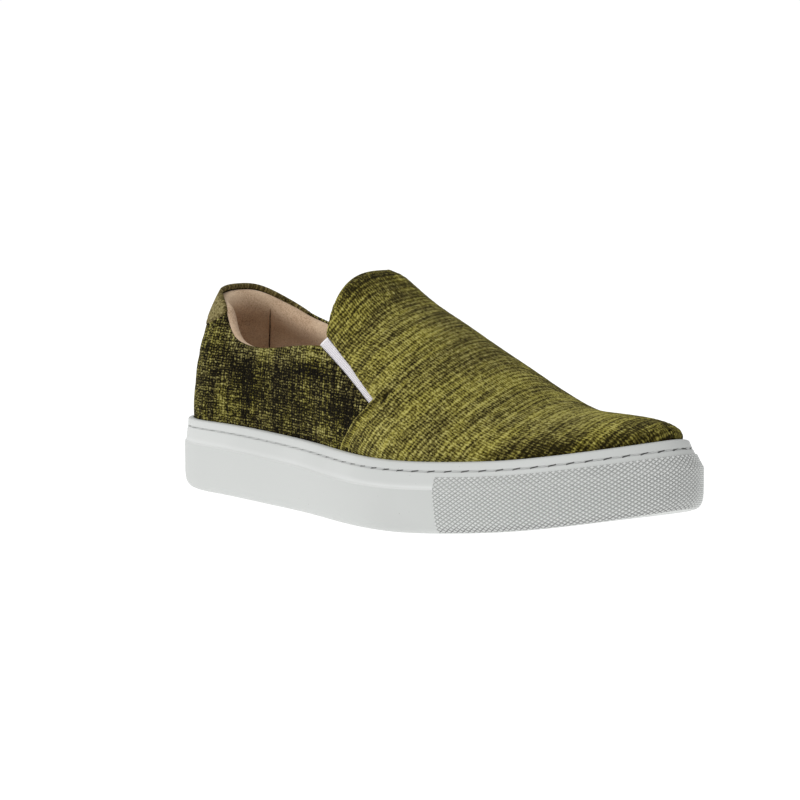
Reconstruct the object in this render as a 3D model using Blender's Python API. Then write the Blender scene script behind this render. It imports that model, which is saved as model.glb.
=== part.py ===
"""Slip-on shoe for the right foot: a hollow fabric upper on a moulded cupsole.

The tables are in millimetres. The back of the heel is at x = 0 and the tip of the toe at
x = LENGTH, the outer (lateral) side is towards -y, and the floor is z = 0. A share is a place
along the shoe, from 0 at the heel to 1 at the toe. An angle runs once around the shoe, from
0 at the back of the heel along the lateral side to half a turn at the tip of the toe.
"""

import bmesh
import bpy
import numpy as np

MM = 0.001
TURN = 2 * np.pi
LATERAL = -1
MEDIAL = 1


def table(columns, *rows):
    """A small table, as a dictionary from column name to values."""
    return dict(zip(columns.split(), np.array(rows, dtype=float).T))


# Driving sizes: length of the outsole, clearance between pieces, round ends and toe spring
LENGTH = 275.0
GAP = 0.3
HEEL_END = 0.135
HEEL_FULLNESS = 2.35
TOE_END = 0.20
TOE_FULLNESS = 2.17
TOE_SPRING = 12.1
SPRING_START = 0.63

# Outline of the sole seen from above
PLAN = table(
    "share middle half_width",
    (0.00, 0.0, 34.2),
    (0.13, 0.0, 34.4),
    (0.28, -2.6, 37.0),
    (0.42, -5.8, 40.0),
    (0.65, -3.6, 51.0),
    (0.76, 1.6, 46.2),
    (0.88, 5.8, 38.0),
    (1.00, 11.5, 30.0),
)

# Upper edge of the sole: height over the floor, and how far it stands in from the outline
RIM = table(
    "share height inset",
    (0.00, 30.6, 1.2),
    (0.07, 30.6, 2.2),
    (0.16, 30.4, 4.2),
    (0.40, 29.0, 5.1),
    (0.68, 27.7, 5.8),
    (0.84, 31.1, 6.2),
    (1.00, 38.9, 5.2),
)

# Side of the sole, from the tread up: rise over the tread, and inset from the outline
WALL_FOOT = table(
    "rise inset",
    (0.0, 4.6),
    (0.8, 2.5),
    (2.4, 1.0),
    (5.0, 0.2),
    (9.0, 0.0),
)

# Side of the sole, up to the rim: drop below the rim, share of the rim's inset, extra inset
WALL_TOP = table(
    "drop slope inset",
    (9.9, 0.00, 0.0),
    (9.2, 0.06, 0.5),
    (5.6, 0.42, 0.3),
    (4.2, 0.56, 0.3),
    (3.7, 0.62, 1.1),
    (3.0, 0.69, 1.1),
    (2.6, 0.73, 0.2),
    (0.5, 0.94, 0.0),
    (0.0, 1.00, 0.5),
)

# Raised toe panel: first and last level of the side that it covers, where it starts on both
# sides, how far it stands out, and the angle over which its end rises
PANEL_LEVELS = (2, 7)
PANEL_START = 0.72
PANEL_RAISE = 0.7
PANEL_EDGE = 0.02

# Width of the rim's top, from its outer edge to the cup
LIP = 2.0

# Thickness of the sole under the foot
BASE = table(
    "share thickness",
    (0.00, 15.0),
    (0.20, 15.0),
    (0.45, 13.0),
    (0.68, 11.0),
    (1.00, 10.0),
)

# Upper: top of each section, where its ridge lies, and how square the section is
SECTIONS = table(
    "share crown ridge shift lateral_fullness medial_fullness",
    (0.00, 107.0, 0.0, 47.0, 2.0, 2.0),
    (0.13, 105.0, -0.5, 25.5, 2.2, 2.1),
    (0.28, 104.0, -1.5, 8.0, 2.5, 2.3),
    (0.42, 98.9, -3.0, 2.0, 3.1, 1.88),
    (0.46, 91.8, -2.9, 1.4, 2.8, 2.0),
    (0.50, 84.6, -2.6, 1.0, 2.5, 2.15),
    (0.54, 79.9, -1.4, 0.5, 2.3, 2.0),
    (0.58, 74.6, 0.0, 0.0, 2.1, 1.9),
    (0.68, 60.7, 3.0, -2.0, 1.9, 1.9),
    (0.80, 47.9, 6.5, -6.0, 1.8, 1.8),
    (0.92, 45.8, 9.0, -15.0, 1.9, 1.9),
    (1.00, 45.4, 10.0, -31.0, 2.2, 2.2),
)

# Wall of the upper, padding of the collar's upper rows, and the vamp's step over the quarters
WALL = 2.2
COLLAR_PADS = (0.8, 1.5, 0.8)
VAMP_STEP = 0.9
STEP_RISE = 3.0

# Height of the collar's edge over the floor
COLLAR = table(
    "share lateral medial",
    (0.000, 88.8, 88.8),
    (0.040, 86.7, 83.4),
    (0.075, 84.3, 79.6),
    (0.100, 81.0, 77.2),
    (0.125, 75.2, 75.3),
    (0.150, 69.2, 73.7),
    (0.180, 66.1, 72.0),
    (0.220, 64.9, 70.3),
    (0.280, 65.6, 69.5),
    (0.350, 67.7, 70.8),
    (0.410, 68.8, 72.0),
    (0.600, 68.8, 72.0),
)

# Front edge of the quarter: along the seam, then back along the gore's slot
QUARTER_EDGE = table(
    "rise share",
    (0.00, 0.500),
    (0.16, 0.518),
    (0.32, 0.537),
    (0.44, 0.560),
    (0.48, 0.563),
    (0.61, 0.525),
    (0.74, 0.486),
    (0.87, 0.447),
    (1.00, 0.408),
)
SEAM_ROWS = 4

# Back edge of the vamp over the slot: height over the quarter's edge, and share
SLOT = table(
    "over share",
    (2.3, 0.571),
    (2.7, 0.535),
    (3.2, 0.499),
    (3.7, 0.463),
    (4.2, 0.429),
)

# Throat: girth covered on the way from the corner of the vamp to the ridge, and share
THROAT = table(
    "climb share",
    (0.12, 0.427),
    (0.24, 0.426),
    (0.36, 0.425),
    (0.48, 0.425),
    (0.60, 0.425),
    (0.72, 0.425),
    (0.86, 0.425),
    (1.00, 0.425),
)

# Heel tab: lower edge of the strip, and its thickness
TAB_REACH = 0.11
TAB_MIDDLE_HEIGHT = 71.0
TAB_CURVE = 4
TAB_END_WIDTH = 1.5
TAB_THICKNESS = 0.9
TAB_ROWS = 5
TAB_COLUMNS = 9

# Elastic gores: how deep they lie in the slots, and their clearances
GORE_DEPTH = 0.7
GORE_THICKNESS = 1.2
GORE_SIDE_GAP = 0.5
GORE_END_GAP = 0.9

# Footbed
INSOLE_THICKNESS = 4.0
INSOLE_BEVEL = 1.0

# Fineness of the faceted solids; the vamp's columns are close together at its back edge
SOLE_COLUMNS = 92
QUARTER_COLUMNS = 22
VAMP_COLUMNS = (0.0, 0.0036, 0.03, 0.07, 0.12, 0.18, 0.25, 0.32, 0.39, 0.46, 0.53,
                0.60, 0.67, 0.74, 0.81, 0.87, 0.93, 1.0)
ROW_SPREAD = 1.5
SECTION_SAMPLES = 240
OUTLINE_SAMPLES = 720
SHARP_ANGLE = 40


def smooth_curve(data, column):
    """Natural cubic spline through one column of a table, against its first column."""
    places = next(iter(data.values()))
    values = data[column]
    count = len(places)
    widths = np.diff(places)
    slopes = np.diff(values) / widths
    system = np.eye(count)
    right = np.zeros(count)
    for row in range(1, count - 1):
        before, after = widths[row - 1], widths[row]
        system[row, row - 1:row + 2] = before, 2 * (before + after), after
        right[row] = 6 * (slopes[row] - slopes[row - 1])
    bends = np.linalg.solve(system, right)

    def value(place):
        place = np.clip(place, places[0], places[-1])
        row = np.clip(np.searchsorted(places, place) - 1, 0, count - 2)
        width = widths[row]
        ahead = (places[row + 1] - place) / width
        behind = 1 - ahead
        straight = ahead * values[row] + behind * values[row + 1]
        bow = (ahead ** 3 - ahead) * bends[row] + (behind ** 3 - behind) * bends[row + 1]
        return straight + bow * width ** 2 / 6

    return value


plan_middle = smooth_curve(PLAN, "middle")
plan_half_width = smooth_curve(PLAN, "half_width")
rim_height = smooth_curve(RIM, "height")
rim_inset = smooth_curve(RIM, "inset")
base_thickness = smooth_curve(BASE, "thickness")
crown = smooth_curve(SECTIONS, "crown")
ridge = smooth_curve(SECTIONS, "ridge")
ridge_shift = smooth_curve(SECTIONS, "shift")
fullness = {
    LATERAL: smooth_curve(SECTIONS, "lateral_fullness"),
    MEDIAL: smooth_curve(SECTIONS, "medial_fullness"),
}
collar = {
    LATERAL: smooth_curve(COLLAR, "lateral"),
    MEDIAL: smooth_curve(COLLAR, "medial"),
}


def share_of(angle):
    return (1 - np.cos(angle)) / 2


def angle_of(share):
    return np.arccos(1 - 2 * share)


def side_of(angle):
    return np.where(np.mod(angle, TURN) <= TURN / 2, LATERAL, MEDIAL)


def rounded_end(distance, power):
    """Width factor that closes an end of the outline with a round curve."""
    distance = np.clip(distance, 0, 1)
    return (1 - (1 - distance) ** power) ** (1 / power)


def outline(angle):
    """Widest outline of the sole, seen from above."""
    share = share_of(angle)
    half = plan_half_width(share)
    half = half * rounded_end(share / HEEL_END, HEEL_FULLNESS)
    half = half * rounded_end((1 - share) / TOE_END, TOE_FULLNESS)
    return np.stack([LENGTH * share, plan_middle(share) + side_of(angle) * half], axis=-1)


def inward(angle):
    """Unit normal of the outline, towards the inside of the shoe."""
    step = 0.001
    along = outline(angle + step) - outline(angle - step)
    along = along / np.linalg.norm(along, axis=-1, keepdims=True)
    return np.stack([-along[..., 1], along[..., 0]], axis=-1)


def ring(angle, inset, height):
    """Points of the outline moved in by the inset, at the given height."""
    angle = np.asarray(angle, dtype=float)
    inset = np.broadcast_to(inset, angle.shape)
    flat = outline(angle) + inward(angle) * inset[..., None]
    height = np.broadcast_to(height, angle.shape)
    return np.concatenate([flat, height[..., None]], axis=-1)


def tread_height(share):
    """Underside of the sole: flat, then lifted towards the toe."""
    lift = np.clip((share - SPRING_START) / (1 - SPRING_START), 0, 1)
    return TOE_SPRING * lift ** 2


def cup_floor(share):
    return tread_height(share) + base_thickness(share)


def feather_inset(share):
    """Inset of the upper's outer face where it stands in the cup."""
    return rim_inset(share) + LIP + GAP


def section(angle):
    """One section of the upper: points from the rim to the ridge, and the girth share of each."""
    side_share = share_of(angle)
    foot = ring(angle, feather_inset(side_share), rim_height(side_share))
    top = np.array([LENGTH * side_share + ridge_shift(side_share), ridge(side_share), crown(side_share)])
    turn = np.linspace(0, np.pi / 2, SECTION_SAMPLES)
    power = 2 / fullness[int(side_of(angle))](side_share)
    across = 1 - np.clip(np.cos(turn), 0, 1) ** power
    up = np.sin(turn) ** power
    blend = np.stack([across, across, up], axis=-1)
    points = foot + (top - foot) * blend
    lengths = np.linalg.norm(np.diff(points, axis=0), axis=1)
    girth = np.concatenate([[0.0], np.cumsum(lengths)])
    return points, girth / girth[-1]


def girth_at_height(angle, height):
    points, girth = section(angle)
    return np.interp(height, points[:, 2], girth)


def upper_point(angle, girth_share):
    """Point of the upper's outer face."""
    points, girth = section(angle)
    return np.array([np.interp(girth_share, girth, points[:, axis]) for axis in range(3)])


def around(side, angle):
    """Angle on one side of the shoe: the medial side runs the other way round."""
    return angle if side == LATERAL else TURN - angle


def quarter_edge_height(side, row):
    share = QUARTER_EDGE["share"][row]
    low = rim_height(share)
    return low + QUARTER_EDGE["rise"][row] * (collar[side](share) - low)


def quarter_point(side, reach, rise, row_share):
    """Point of a quarter: reach 0 at the back of the heel and 1 at the front edge."""
    angle = reach * angle_of(row_share)
    share = share_of(angle)
    low = rim_height(share)
    height = low + rise * (collar[side](share) - low)
    turned = around(side, angle)
    return upper_point(turned, girth_at_height(turned, height))


def vamp_edge(side):
    """Back edge of the vamp: share and girth of each row, from the rim to the ridge."""
    rows = []
    for row in range(SEAM_ROWS):
        share = QUARTER_EDGE["share"][row]
        angle = around(side, angle_of(share))
        rows.append((share, girth_at_height(angle, quarter_edge_height(side, row))))
    for row, (over, share) in enumerate(zip(SLOT["over"], SLOT["share"])):
        angle = around(side, angle_of(share))
        height = quarter_edge_height(side, SEAM_ROWS + row) + over
        rows.append((share, girth_at_height(angle, height)))
    corner_girth = rows[-1][1]
    for climb, share in zip(THROAT["climb"], THROAT["share"]):
        rows.append((share, corner_girth + climb * (1 - corner_girth)))
    return rows


def vamp_place(side, edge, row, reach):
    """Angle and girth of a point of the vamp: reach 0 at its back edge and 1 at the toe."""
    share, edge_girth = edge[row]
    start = angle_of(share)
    angle = start + reach * (np.pi - start)
    even_girth = row / (len(edge) - 1)
    girth = edge_girth + (even_girth - edge_girth) * min(1.0, ROW_SPREAD * reach)
    return around(side, angle), girth


class Surface:
    """Open sheet of quads, joined where its points coincide."""

    def __init__(self):
        self.places = {}
        self.points = []
        self.faces = []
        self.outside = []

    def add(self, point, outside=0.0):
        key = tuple(np.round(point, 4))
        if key not in self.places:
            self.places[key] = len(self.points)
            self.points.append(np.asarray(point, dtype=float))
            self.outside.append(outside)
        return self.places[key]

    def grid(self, rows, flip=False):
        """Quads between rows of point numbers."""
        for low, high in zip(rows[:-1], rows[1:]):
            for left in range(len(low) - 1):
                face = [low[left], low[left + 1], high[left + 1], high[left]]
                corners = list(dict.fromkeys(face))
                if len(corners) < 3:
                    continue
                self.faces.append(corners[::-1] if flip else corners)

    def normals(self):
        points = np.array(self.points)
        total = np.zeros_like(points)
        for face in self.faces:
            corners = points[face]
            middle = corners.mean(axis=0)
            area = np.zeros(3)
            for here, there in zip(corners, np.roll(corners, -1, axis=0)):
                area += np.cross(here - middle, there - middle)
            total[face] += area
        return total / np.linalg.norm(total, axis=1, keepdims=True)

    def border(self):
        """Directed edges that belong to one face only."""
        seen = {}
        for face in self.faces:
            for start, end in zip(face, face[1:] + face[:1]):
                seen[(start, end)] = True
        return [edge for edge in seen if (edge[1], edge[0]) not in seen]

    def shell(self, outside, inside):
        """Closed solid between two distances from the sheet, outside positive."""
        points = np.array(self.points)
        normals = self.normals()
        count = len(points)
        outer = points + normals * np.broadcast_to(outside, count)[:, None]
        inner = points + normals * np.broadcast_to(inside, count)[:, None]
        faces = [list(face) for face in self.faces]
        faces += [[corner + count for corner in reversed(face)] for face in self.faces]
        for start, end in self.border():
            faces.append([end, start, start + count, end + count])
        return np.concatenate([outer, inner]), faces


def quarter_rows(surface, side):
    """Point numbers of one quarter: a row for each height, from the heel to its front edge."""
    reaches = np.linspace(0, 1, QUARTER_COLUMNS + 1)
    rows = []
    bottom = []
    first_share = QUARTER_EDGE["share"][0]
    for reach in reaches:
        bottom.append(surface.add(skirt_point(around(side, reach * angle_of(first_share)))))
    rows.append(bottom)
    for rise, share in zip(QUARTER_EDGE["rise"], QUARTER_EDGE["share"]):
        rows.append([surface.add(quarter_point(side, reach, rise, share)) for reach in reaches])
    return rows


def skirt_point(angle):
    """Lower edge of the upper, inside the cup and just above its floor."""
    share = share_of(angle)
    return ring(angle, feather_inset(share), cup_floor(share) + GAP)


def vamp_rows(surface, side):
    """Point numbers of one half of the vamp: a row for each girth, from its back edge to the toe."""
    edge = vamp_edge(side)
    rows = []
    start = angle_of(edge[0][0])
    bottom = [start + reach * (np.pi - start) for reach in VAMP_COLUMNS]
    rows.append([surface.add(skirt_point(around(side, angle))) for angle in bottom])
    for row in range(len(edge)):
        numbers = []
        for column, reach in enumerate(VAMP_COLUMNS):
            angle, girth = vamp_place(side, edge, row, reach)
            point = upper_point(angle, girth)
            clear = point[2] - rim_height(share_of(angle))
            raised = VAMP_STEP * np.clip(clear / STEP_RISE, 0, 1)
            numbers.append(surface.add(point, raised if column > 0 else 0.0))
        rows.append(numbers)
    return rows


def upper_solid():
    """Vamp and quarters as one hollow wall, open at the collar, the slots and underneath."""
    surface = Surface()
    pads = {}
    for side in (LATERAL, MEDIAL):
        flip = side == LATERAL
        quarter = quarter_rows(surface, side)
        vamp = vamp_rows(surface, side)
        surface.grid(quarter, flip=not flip)
        surface.grid(vamp, flip=not flip)
        seam_top = SEAM_ROWS
        corner = [quarter[seam_top][-1], vamp[seam_top + 1][0], quarter[seam_top + 1][-1]]
        surface.faces.append(corner if flip else corner[::-1])
        for row, pad in zip(quarter[-len(COLLAR_PADS):], COLLAR_PADS):
            pads.update(dict.fromkeys(row, pad))
    inside = np.full(len(surface.points), -WALL)
    for number, pad in pads.items():
        inside[number] -= pad
    return surface.shell(np.array(surface.outside), inside)


def tab_solid():
    """Strip over the top of the heel, a gap away from the upper's outer face."""
    surface = Surface()
    rows = []
    for level in np.linspace(0, 1, TAB_ROWS + 1):
        numbers = []
        for column in range(-TAB_COLUMNS, TAB_COLUMNS + 1):
            side = MEDIAL if column < 0 else LATERAL
            out = abs(column) / TAB_COLUMNS
            angle = around(side, out * angle_of(TAB_REACH))
            end = collar[side](TAB_REACH) - TAB_END_WIDTH
            low = TAB_MIDDLE_HEIGHT + out ** TAB_CURVE * (end - TAB_MIDDLE_HEIGHT)
            height = low + level * (collar[side](share_of(angle)) - low)
            numbers.append(surface.add(upper_point(angle, girth_at_height(angle, height))))
        rows.append(numbers)
    surface.grid(rows)
    return surface.shell(GAP + TAB_THICKNESS, GAP)


def slot_sides(side, row):
    """Points of the quarter's edge and the vamp's edge on both sides of the slot."""
    edge_row = SEAM_ROWS + row
    rise = QUARTER_EDGE["rise"][edge_row]
    share = QUARTER_EDGE["share"][edge_row]
    behind = quarter_point(side, 1.0, rise, share)
    ahead = upper_point(*vamp_place(side, vamp_edge(side), edge_row, 0.0))
    return behind, ahead


def gore_solid(side):
    """Elastic in the slot between quarter and vamp, set in from the outer face."""
    surface = Surface()
    sides = [slot_sides(side, row) for row in range(len(SLOT["share"]))]
    lead = GORE_END_GAP / np.linalg.norm(sides[1][0] - sides[0][0])
    start = [low + (high - low) * lead for low, high in zip(sides[0], sides[1])]
    rows = []
    for back, front in [start] + sides[1:]:
        margin = GORE_SIDE_GAP / np.linalg.norm(front - back)
        places = (margin, 0.5, 1 - margin)
        rows.append([surface.add(back + (front - back) * place) for place in places])
    surface.grid(rows, flip=side == MEDIAL)
    return surface.shell(-GORE_DEPTH, -GORE_DEPTH - GORE_THICKNESS)


def ring_faces(rings, count):
    """Quads between closed rings of points that are stored one after the other."""
    faces = []
    for level in range(rings - 1):
        for column in range(count):
            here = level * count + column
            there = level * count + (column + 1) % count
            faces.append([here, there, there + count, here + count])
    return faces


def cap_faces(first, count, flip):
    """Quads across a ring, from each lateral point to its medial partner."""
    faces = []
    half = count // 2
    for column in range(half):
        face = [column, column + 1, (count - column - 1) % count, (count - column) % count]
        corners = list(dict.fromkeys(first + corner for corner in face))
        faces.append(corners[::-1] if flip else corners)
    return faces


def sole_angles():
    """Angles around the sole, with close pairs at the two ends of the toe panel."""
    half = SOLE_COLUMNS // 2
    even = np.linspace(0, np.pi, half + 1)
    edge = angle_of(PANEL_START)
    pair = np.array([edge - PANEL_EDGE / 2, edge + PANEL_EDGE / 2])
    kept = even[np.abs(even - edge) > 1.5 * PANEL_EDGE]
    lateral = np.sort(np.concatenate([kept, pair]))
    return np.concatenate([lateral, TURN - lateral[-2:0:-1]])


def panel_raise(angle):
    """How far the toe panel stands out at an angle."""
    half_angle = np.minimum(angle, TURN - angle)
    edge = angle_of(PANEL_START)
    return PANEL_RAISE * np.clip((half_angle - edge) / PANEL_EDGE + 0.5, 0, 1)


def sole_solid():
    """Cupsole: tread, stepped side with its stitch groove, rim, and the cup inside."""
    angles = sole_angles()
    share = share_of(angles)
    low = tread_height(share)
    high = rim_height(share)
    slope = rim_inset(share)
    levels = []
    for rise, inset in zip(*WALL_FOOT.values()):
        levels.append((low + rise, inset + 0 * share))
    for drop, part, inset in zip(*WALL_TOP.values()):
        levels.append((high - drop, part * slope + inset))
    rings = []
    for level, (height, inset) in enumerate(levels):
        in_panel = PANEL_LEVELS[0] <= level <= PANEL_LEVELS[1]
        proud = panel_raise(angles) if in_panel else 0.0
        rings.append(ring(angles, inset - proud, height))
    rings.append(ring(angles, slope + LIP, high))
    rings.append(ring(angles, slope + LIP, cup_floor(share)))
    count = len(angles)
    faces = ring_faces(len(rings), count)
    faces += cap_faces(0, count, flip=True)
    faces += cap_faces((len(rings) - 1) * count, count, flip=False)
    return np.concatenate(rings), faces


def insole_solid():
    """Footbed on the floor of the cup, inside the foot of the upper."""
    angles = np.linspace(0, TURN, SOLE_COLUMNS, endpoint=False)
    share = share_of(angles)
    inset = feather_inset(share) + WALL + GAP
    low = cup_floor(share) + GAP
    rings = [
        ring(angles, inset, low),
        ring(angles, inset, low + INSOLE_THICKNESS - INSOLE_BEVEL),
        ring(angles, inset + INSOLE_BEVEL, low + INSOLE_THICKNESS),
    ]
    faces = ring_faces(len(rings), SOLE_COLUMNS)
    faces += cap_faces(0, SOLE_COLUMNS, flip=True)
    faces += cap_faces((len(rings) - 1) * SOLE_COLUMNS, SOLE_COLUMNS, flip=False)
    return np.concatenate(rings), faces


def frame_origin():
    """Middle of the outline on the floor, in the tables' coordinates."""
    flat = outline(np.linspace(0, TURN, OUTLINE_SAMPLES))
    middle = (flat.min(axis=0) + flat.max(axis=0)) / 2
    return np.array([middle[0], middle[1], 0.0])


def material(name, colour, roughness):
    made = bpy.data.materials.new(name)
    made.use_nodes = True
    shader = made.node_tree.nodes["Principled BSDF"]
    shader.inputs["Base Color"].default_value = (*colour, 1.0)
    shader.inputs["Roughness"].default_value = roughness
    shader.inputs["Metallic"].default_value = 0.0
    return made


def add_piece(name, solid, finish):
    """Object of one solid, in metres and in the shared frame."""
    points, faces = solid
    mesh = bpy.data.meshes.new(name)
    mesh.from_pydata(((points - frame_origin()) * MM).tolist(), [], faces)
    shape = bmesh.new()
    shape.from_mesh(mesh)
    bmesh.ops.triangulate(shape, faces=shape.faces[:])
    bmesh.ops.recalc_face_normals(shape, faces=shape.faces[:])
    shape.to_mesh(mesh)
    shape.free()
    mesh.shade_smooth()
    mesh.set_sharp_from_angle(angle=np.radians(SHARP_ANGLE))
    mesh.materials.append(finish)
    piece = bpy.data.objects.new(name, mesh)
    bpy.context.scene.collection.objects.link(piece)
    return piece


def main():
    for old in list(bpy.data.objects):
        bpy.data.objects.remove(old, do_unlink=True)
    rubber = material("rubber", (0.66, 0.68, 0.66), 0.45)
    cloth = material("chenille", (0.13, 0.12, 0.02), 0.95)
    strip = material("heel_cloth", (0.14, 0.12, 0.03), 0.9)
    elastic = material("elastic", (0.75, 0.72, 0.75), 0.8)
    footbed = material("footbed", (0.40, 0.26, 0.18), 0.9)
    add_piece("outsole", sole_solid(), rubber)
    add_piece("insole", insole_solid(), footbed)
    add_piece("upper", upper_solid(), cloth)
    add_piece("heel_tab", tab_solid(), strip)
    add_piece("gore_lateral", gore_solid(LATERAL), elastic)
    add_piece("gore_medial", gore_solid(MEDIAL), elastic)


main()
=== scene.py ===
"""Looks of the slip-on shoe: woven cloth, lining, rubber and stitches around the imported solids.

The tables are in millimetres, as in the part's source: the back of the heel is at x = 0 and the
tip of the toe at x = LENGTH, the outer (lateral) side is towards -y, and the floor is z = 0.
A share is a place along the shoe, from 0 at the heel to 1 at the toe. An angle runs once around
the shoe, from 0 at the back of the heel along the lateral side to half a turn at the tip.
A girth is a place on the upper, from 0 at the sole's rim to 1 at the ridge.
"""

import bpy
import numpy as np
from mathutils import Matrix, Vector


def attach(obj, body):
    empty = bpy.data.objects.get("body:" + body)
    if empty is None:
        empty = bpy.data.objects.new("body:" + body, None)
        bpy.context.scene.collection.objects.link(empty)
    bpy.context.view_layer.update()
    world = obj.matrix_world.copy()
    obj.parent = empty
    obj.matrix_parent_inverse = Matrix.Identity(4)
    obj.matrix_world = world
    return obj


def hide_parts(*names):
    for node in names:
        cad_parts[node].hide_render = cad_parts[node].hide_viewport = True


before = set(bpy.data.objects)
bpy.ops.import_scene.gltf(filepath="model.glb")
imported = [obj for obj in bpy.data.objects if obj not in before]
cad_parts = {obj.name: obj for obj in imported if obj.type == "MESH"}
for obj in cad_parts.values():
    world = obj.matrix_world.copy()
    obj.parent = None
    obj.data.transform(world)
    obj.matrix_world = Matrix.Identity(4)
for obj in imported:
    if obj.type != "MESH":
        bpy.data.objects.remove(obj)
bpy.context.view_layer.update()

MM = 0.001
TURN = 2 * np.pi
LATERAL = -1
MEDIAL = 1


def table(columns, *rows):
    """A small table, as a dictionary from column name to values."""
    return dict(zip(columns.split(), np.array(rows, dtype=float).T))


# Sizes shared with the part's source
LENGTH = 275.0
GAP = 0.3
HEEL_END = 0.135
HEEL_FULLNESS = 2.35
TOE_END = 0.20
TOE_FULLNESS = 2.17
TOE_SPRING = 12.1
SPRING_START = 0.63
LIP = 2.0
WALL = 2.2
VAMP_STEP = 0.9
STEP_RISE = 3.0
INSOLE_THICKNESS = 4.0
TAB_REACH = 0.11
TAB_MIDDLE_HEIGHT = 71.0
TAB_CURVE = 4
TAB_END_WIDTH = 1.5
PANEL_START = 0.72

PLAN = table(
    "share middle half_width",
    (0.00, 0.0, 34.2),
    (0.13, 0.0, 34.4),
    (0.28, -2.6, 37.0),
    (0.42, -5.8, 40.0),
    (0.65, -3.6, 51.0),
    (0.76, 1.6, 46.2),
    (0.88, 5.8, 38.0),
    (1.00, 11.5, 30.0),
)
RIM = table(
    "share height inset",
    (0.00, 30.6, 1.2),
    (0.07, 30.6, 2.2),
    (0.16, 30.4, 4.2),
    (0.40, 29.0, 5.1),
    (0.68, 27.7, 5.8),
    (0.84, 31.1, 6.2),
    (1.00, 38.9, 5.2),
)
BASE = table(
    "share thickness",
    (0.00, 15.0),
    (0.20, 15.0),
    (0.45, 13.0),
    (0.68, 11.0),
    (1.00, 10.0),
)
SECTIONS = table(
    "share crown ridge shift lateral_fullness medial_fullness",
    (0.00, 107.0, 0.0, 47.0, 2.0, 2.0),
    (0.13, 105.0, -0.5, 25.5, 2.2, 2.1),
    (0.28, 104.0, -1.5, 8.0, 2.5, 2.3),
    (0.42, 98.9, -3.0, 2.0, 3.1, 1.88),
    (0.46, 91.8, -2.9, 1.4, 2.8, 2.0),
    (0.50, 84.6, -2.6, 1.0, 2.5, 2.15),
    (0.54, 79.9, -1.4, 0.5, 2.3, 2.0),
    (0.58, 74.6, 0.0, 0.0, 2.1, 1.9),
    (0.68, 60.7, 3.0, -2.0, 1.9, 1.9),
    (0.80, 47.9, 6.5, -6.0, 1.8, 1.8),
    (0.92, 45.8, 9.0, -15.0, 1.9, 1.9),
    (1.00, 45.4, 10.0, -31.0, 2.2, 2.2),
)
COLLAR = table(
    "share lateral medial",
    (0.000, 88.8, 88.8),
    (0.040, 86.7, 83.4),
    (0.075, 84.3, 79.6),
    (0.100, 81.0, 77.2),
    (0.125, 75.2, 75.3),
    (0.150, 69.2, 73.7),
    (0.180, 66.1, 72.0),
    (0.220, 64.9, 70.3),
    (0.280, 65.6, 69.5),
    (0.350, 67.7, 70.8),
    (0.410, 68.8, 72.0),
    (0.600, 68.8, 72.0),
)
QUARTER_EDGE = table(
    "rise share",
    (0.00, 0.492),
    (0.16, 0.515),
    (0.32, 0.537),
    (0.44, 0.560),
    (0.48, 0.563),
    (0.61, 0.525),
    (0.74, 0.486),
    (0.87, 0.447),
    (1.00, 0.408),
)
SEAM_ROWS = 4
SLOT = table(
    "over share",
    (2.3, 0.571),
    (2.7, 0.535),
    (3.2, 0.499),
    (3.7, 0.463),
    (4.2, 0.429),
)
THROAT = table(
    "climb share",
    (0.12, 0.427),
    (0.24, 0.426),
    (0.36, 0.425),
    (1.00, 0.425),
)

# Side of the sole: rise over the tread and inset, then drop below the rim, share of the rim's
# inset and extra inset, with the corners of the solid rounded
WALL_FOOT = table(
    "rise inset",
    (0.0, 5.2),
    (0.15, 3.9),
    (0.8, 2.5),
    (1.5, 1.6),
    (2.4, 1.0),
    (3.6, 0.5),
    (5.0, 0.2),
    (7.0, 0.05),
    (9.0, 0.0),
)
WALL_TOP = table(
    "drop slope inset",
    (10.3, 0.00, 0.0),
    (9.9, 0.00, 0.06),
    (9.7, 0.02, 0.25),
    (9.5, 0.04, 0.47),
    (9.1, 0.07, 0.52),
    (7.4, 0.24, 0.40),
    (5.6, 0.42, 0.30),
    (4.3, 0.55, 0.28),
    (3.72, 0.61, 0.26),
    (3.64, 0.62, 0.45),
    (3.58, 0.63, 0.90),
    (3.14, 0.67, 0.90),
    (3.08, 0.68, 0.45),
    (3.00, 0.69, 0.24),
    (2.4, 0.75, 0.18),
    (0.7, 0.92, 0.00),
    (0.3, 0.97, 0.10),
    (0.08, 1.00, 0.40),
    (0.0, 1.00, 0.90),
)

ANGLE_SAMPLES = 1440
GIRTH_SAMPLES = 180
SECTION_SAMPLES = 240
OUTLINE_SAMPLES = 720
NOISE_SIZE = 64
TINY = 1e-9
UPRIGHT = np.array([0.0, 0.0, 1.0])


def smooth_curve(data, column):
    """Natural cubic spline through one column of a table, against its first column."""
    places = next(iter(data.values()))
    values = data[column]
    count = len(places)
    widths = np.diff(places)
    slopes = np.diff(values) / widths
    system = np.eye(count)
    right = np.zeros(count)
    for row in range(1, count - 1):
        before, after = widths[row - 1], widths[row]
        system[row, row - 1:row + 2] = before, 2 * (before + after), after
        right[row] = 6 * (slopes[row] - slopes[row - 1])
    bends = np.linalg.solve(system, right)

    def value(place):
        place = np.clip(place, places[0], places[-1])
        row = np.clip(np.searchsorted(places, place) - 1, 0, count - 2)
        width = widths[row]
        ahead = (places[row + 1] - place) / width
        behind = 1 - ahead
        straight = ahead * values[row] + behind * values[row + 1]
        bow = (ahead ** 3 - ahead) * bends[row] + (behind ** 3 - behind) * bends[row + 1]
        return straight + bow * width ** 2 / 6

    return value


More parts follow.
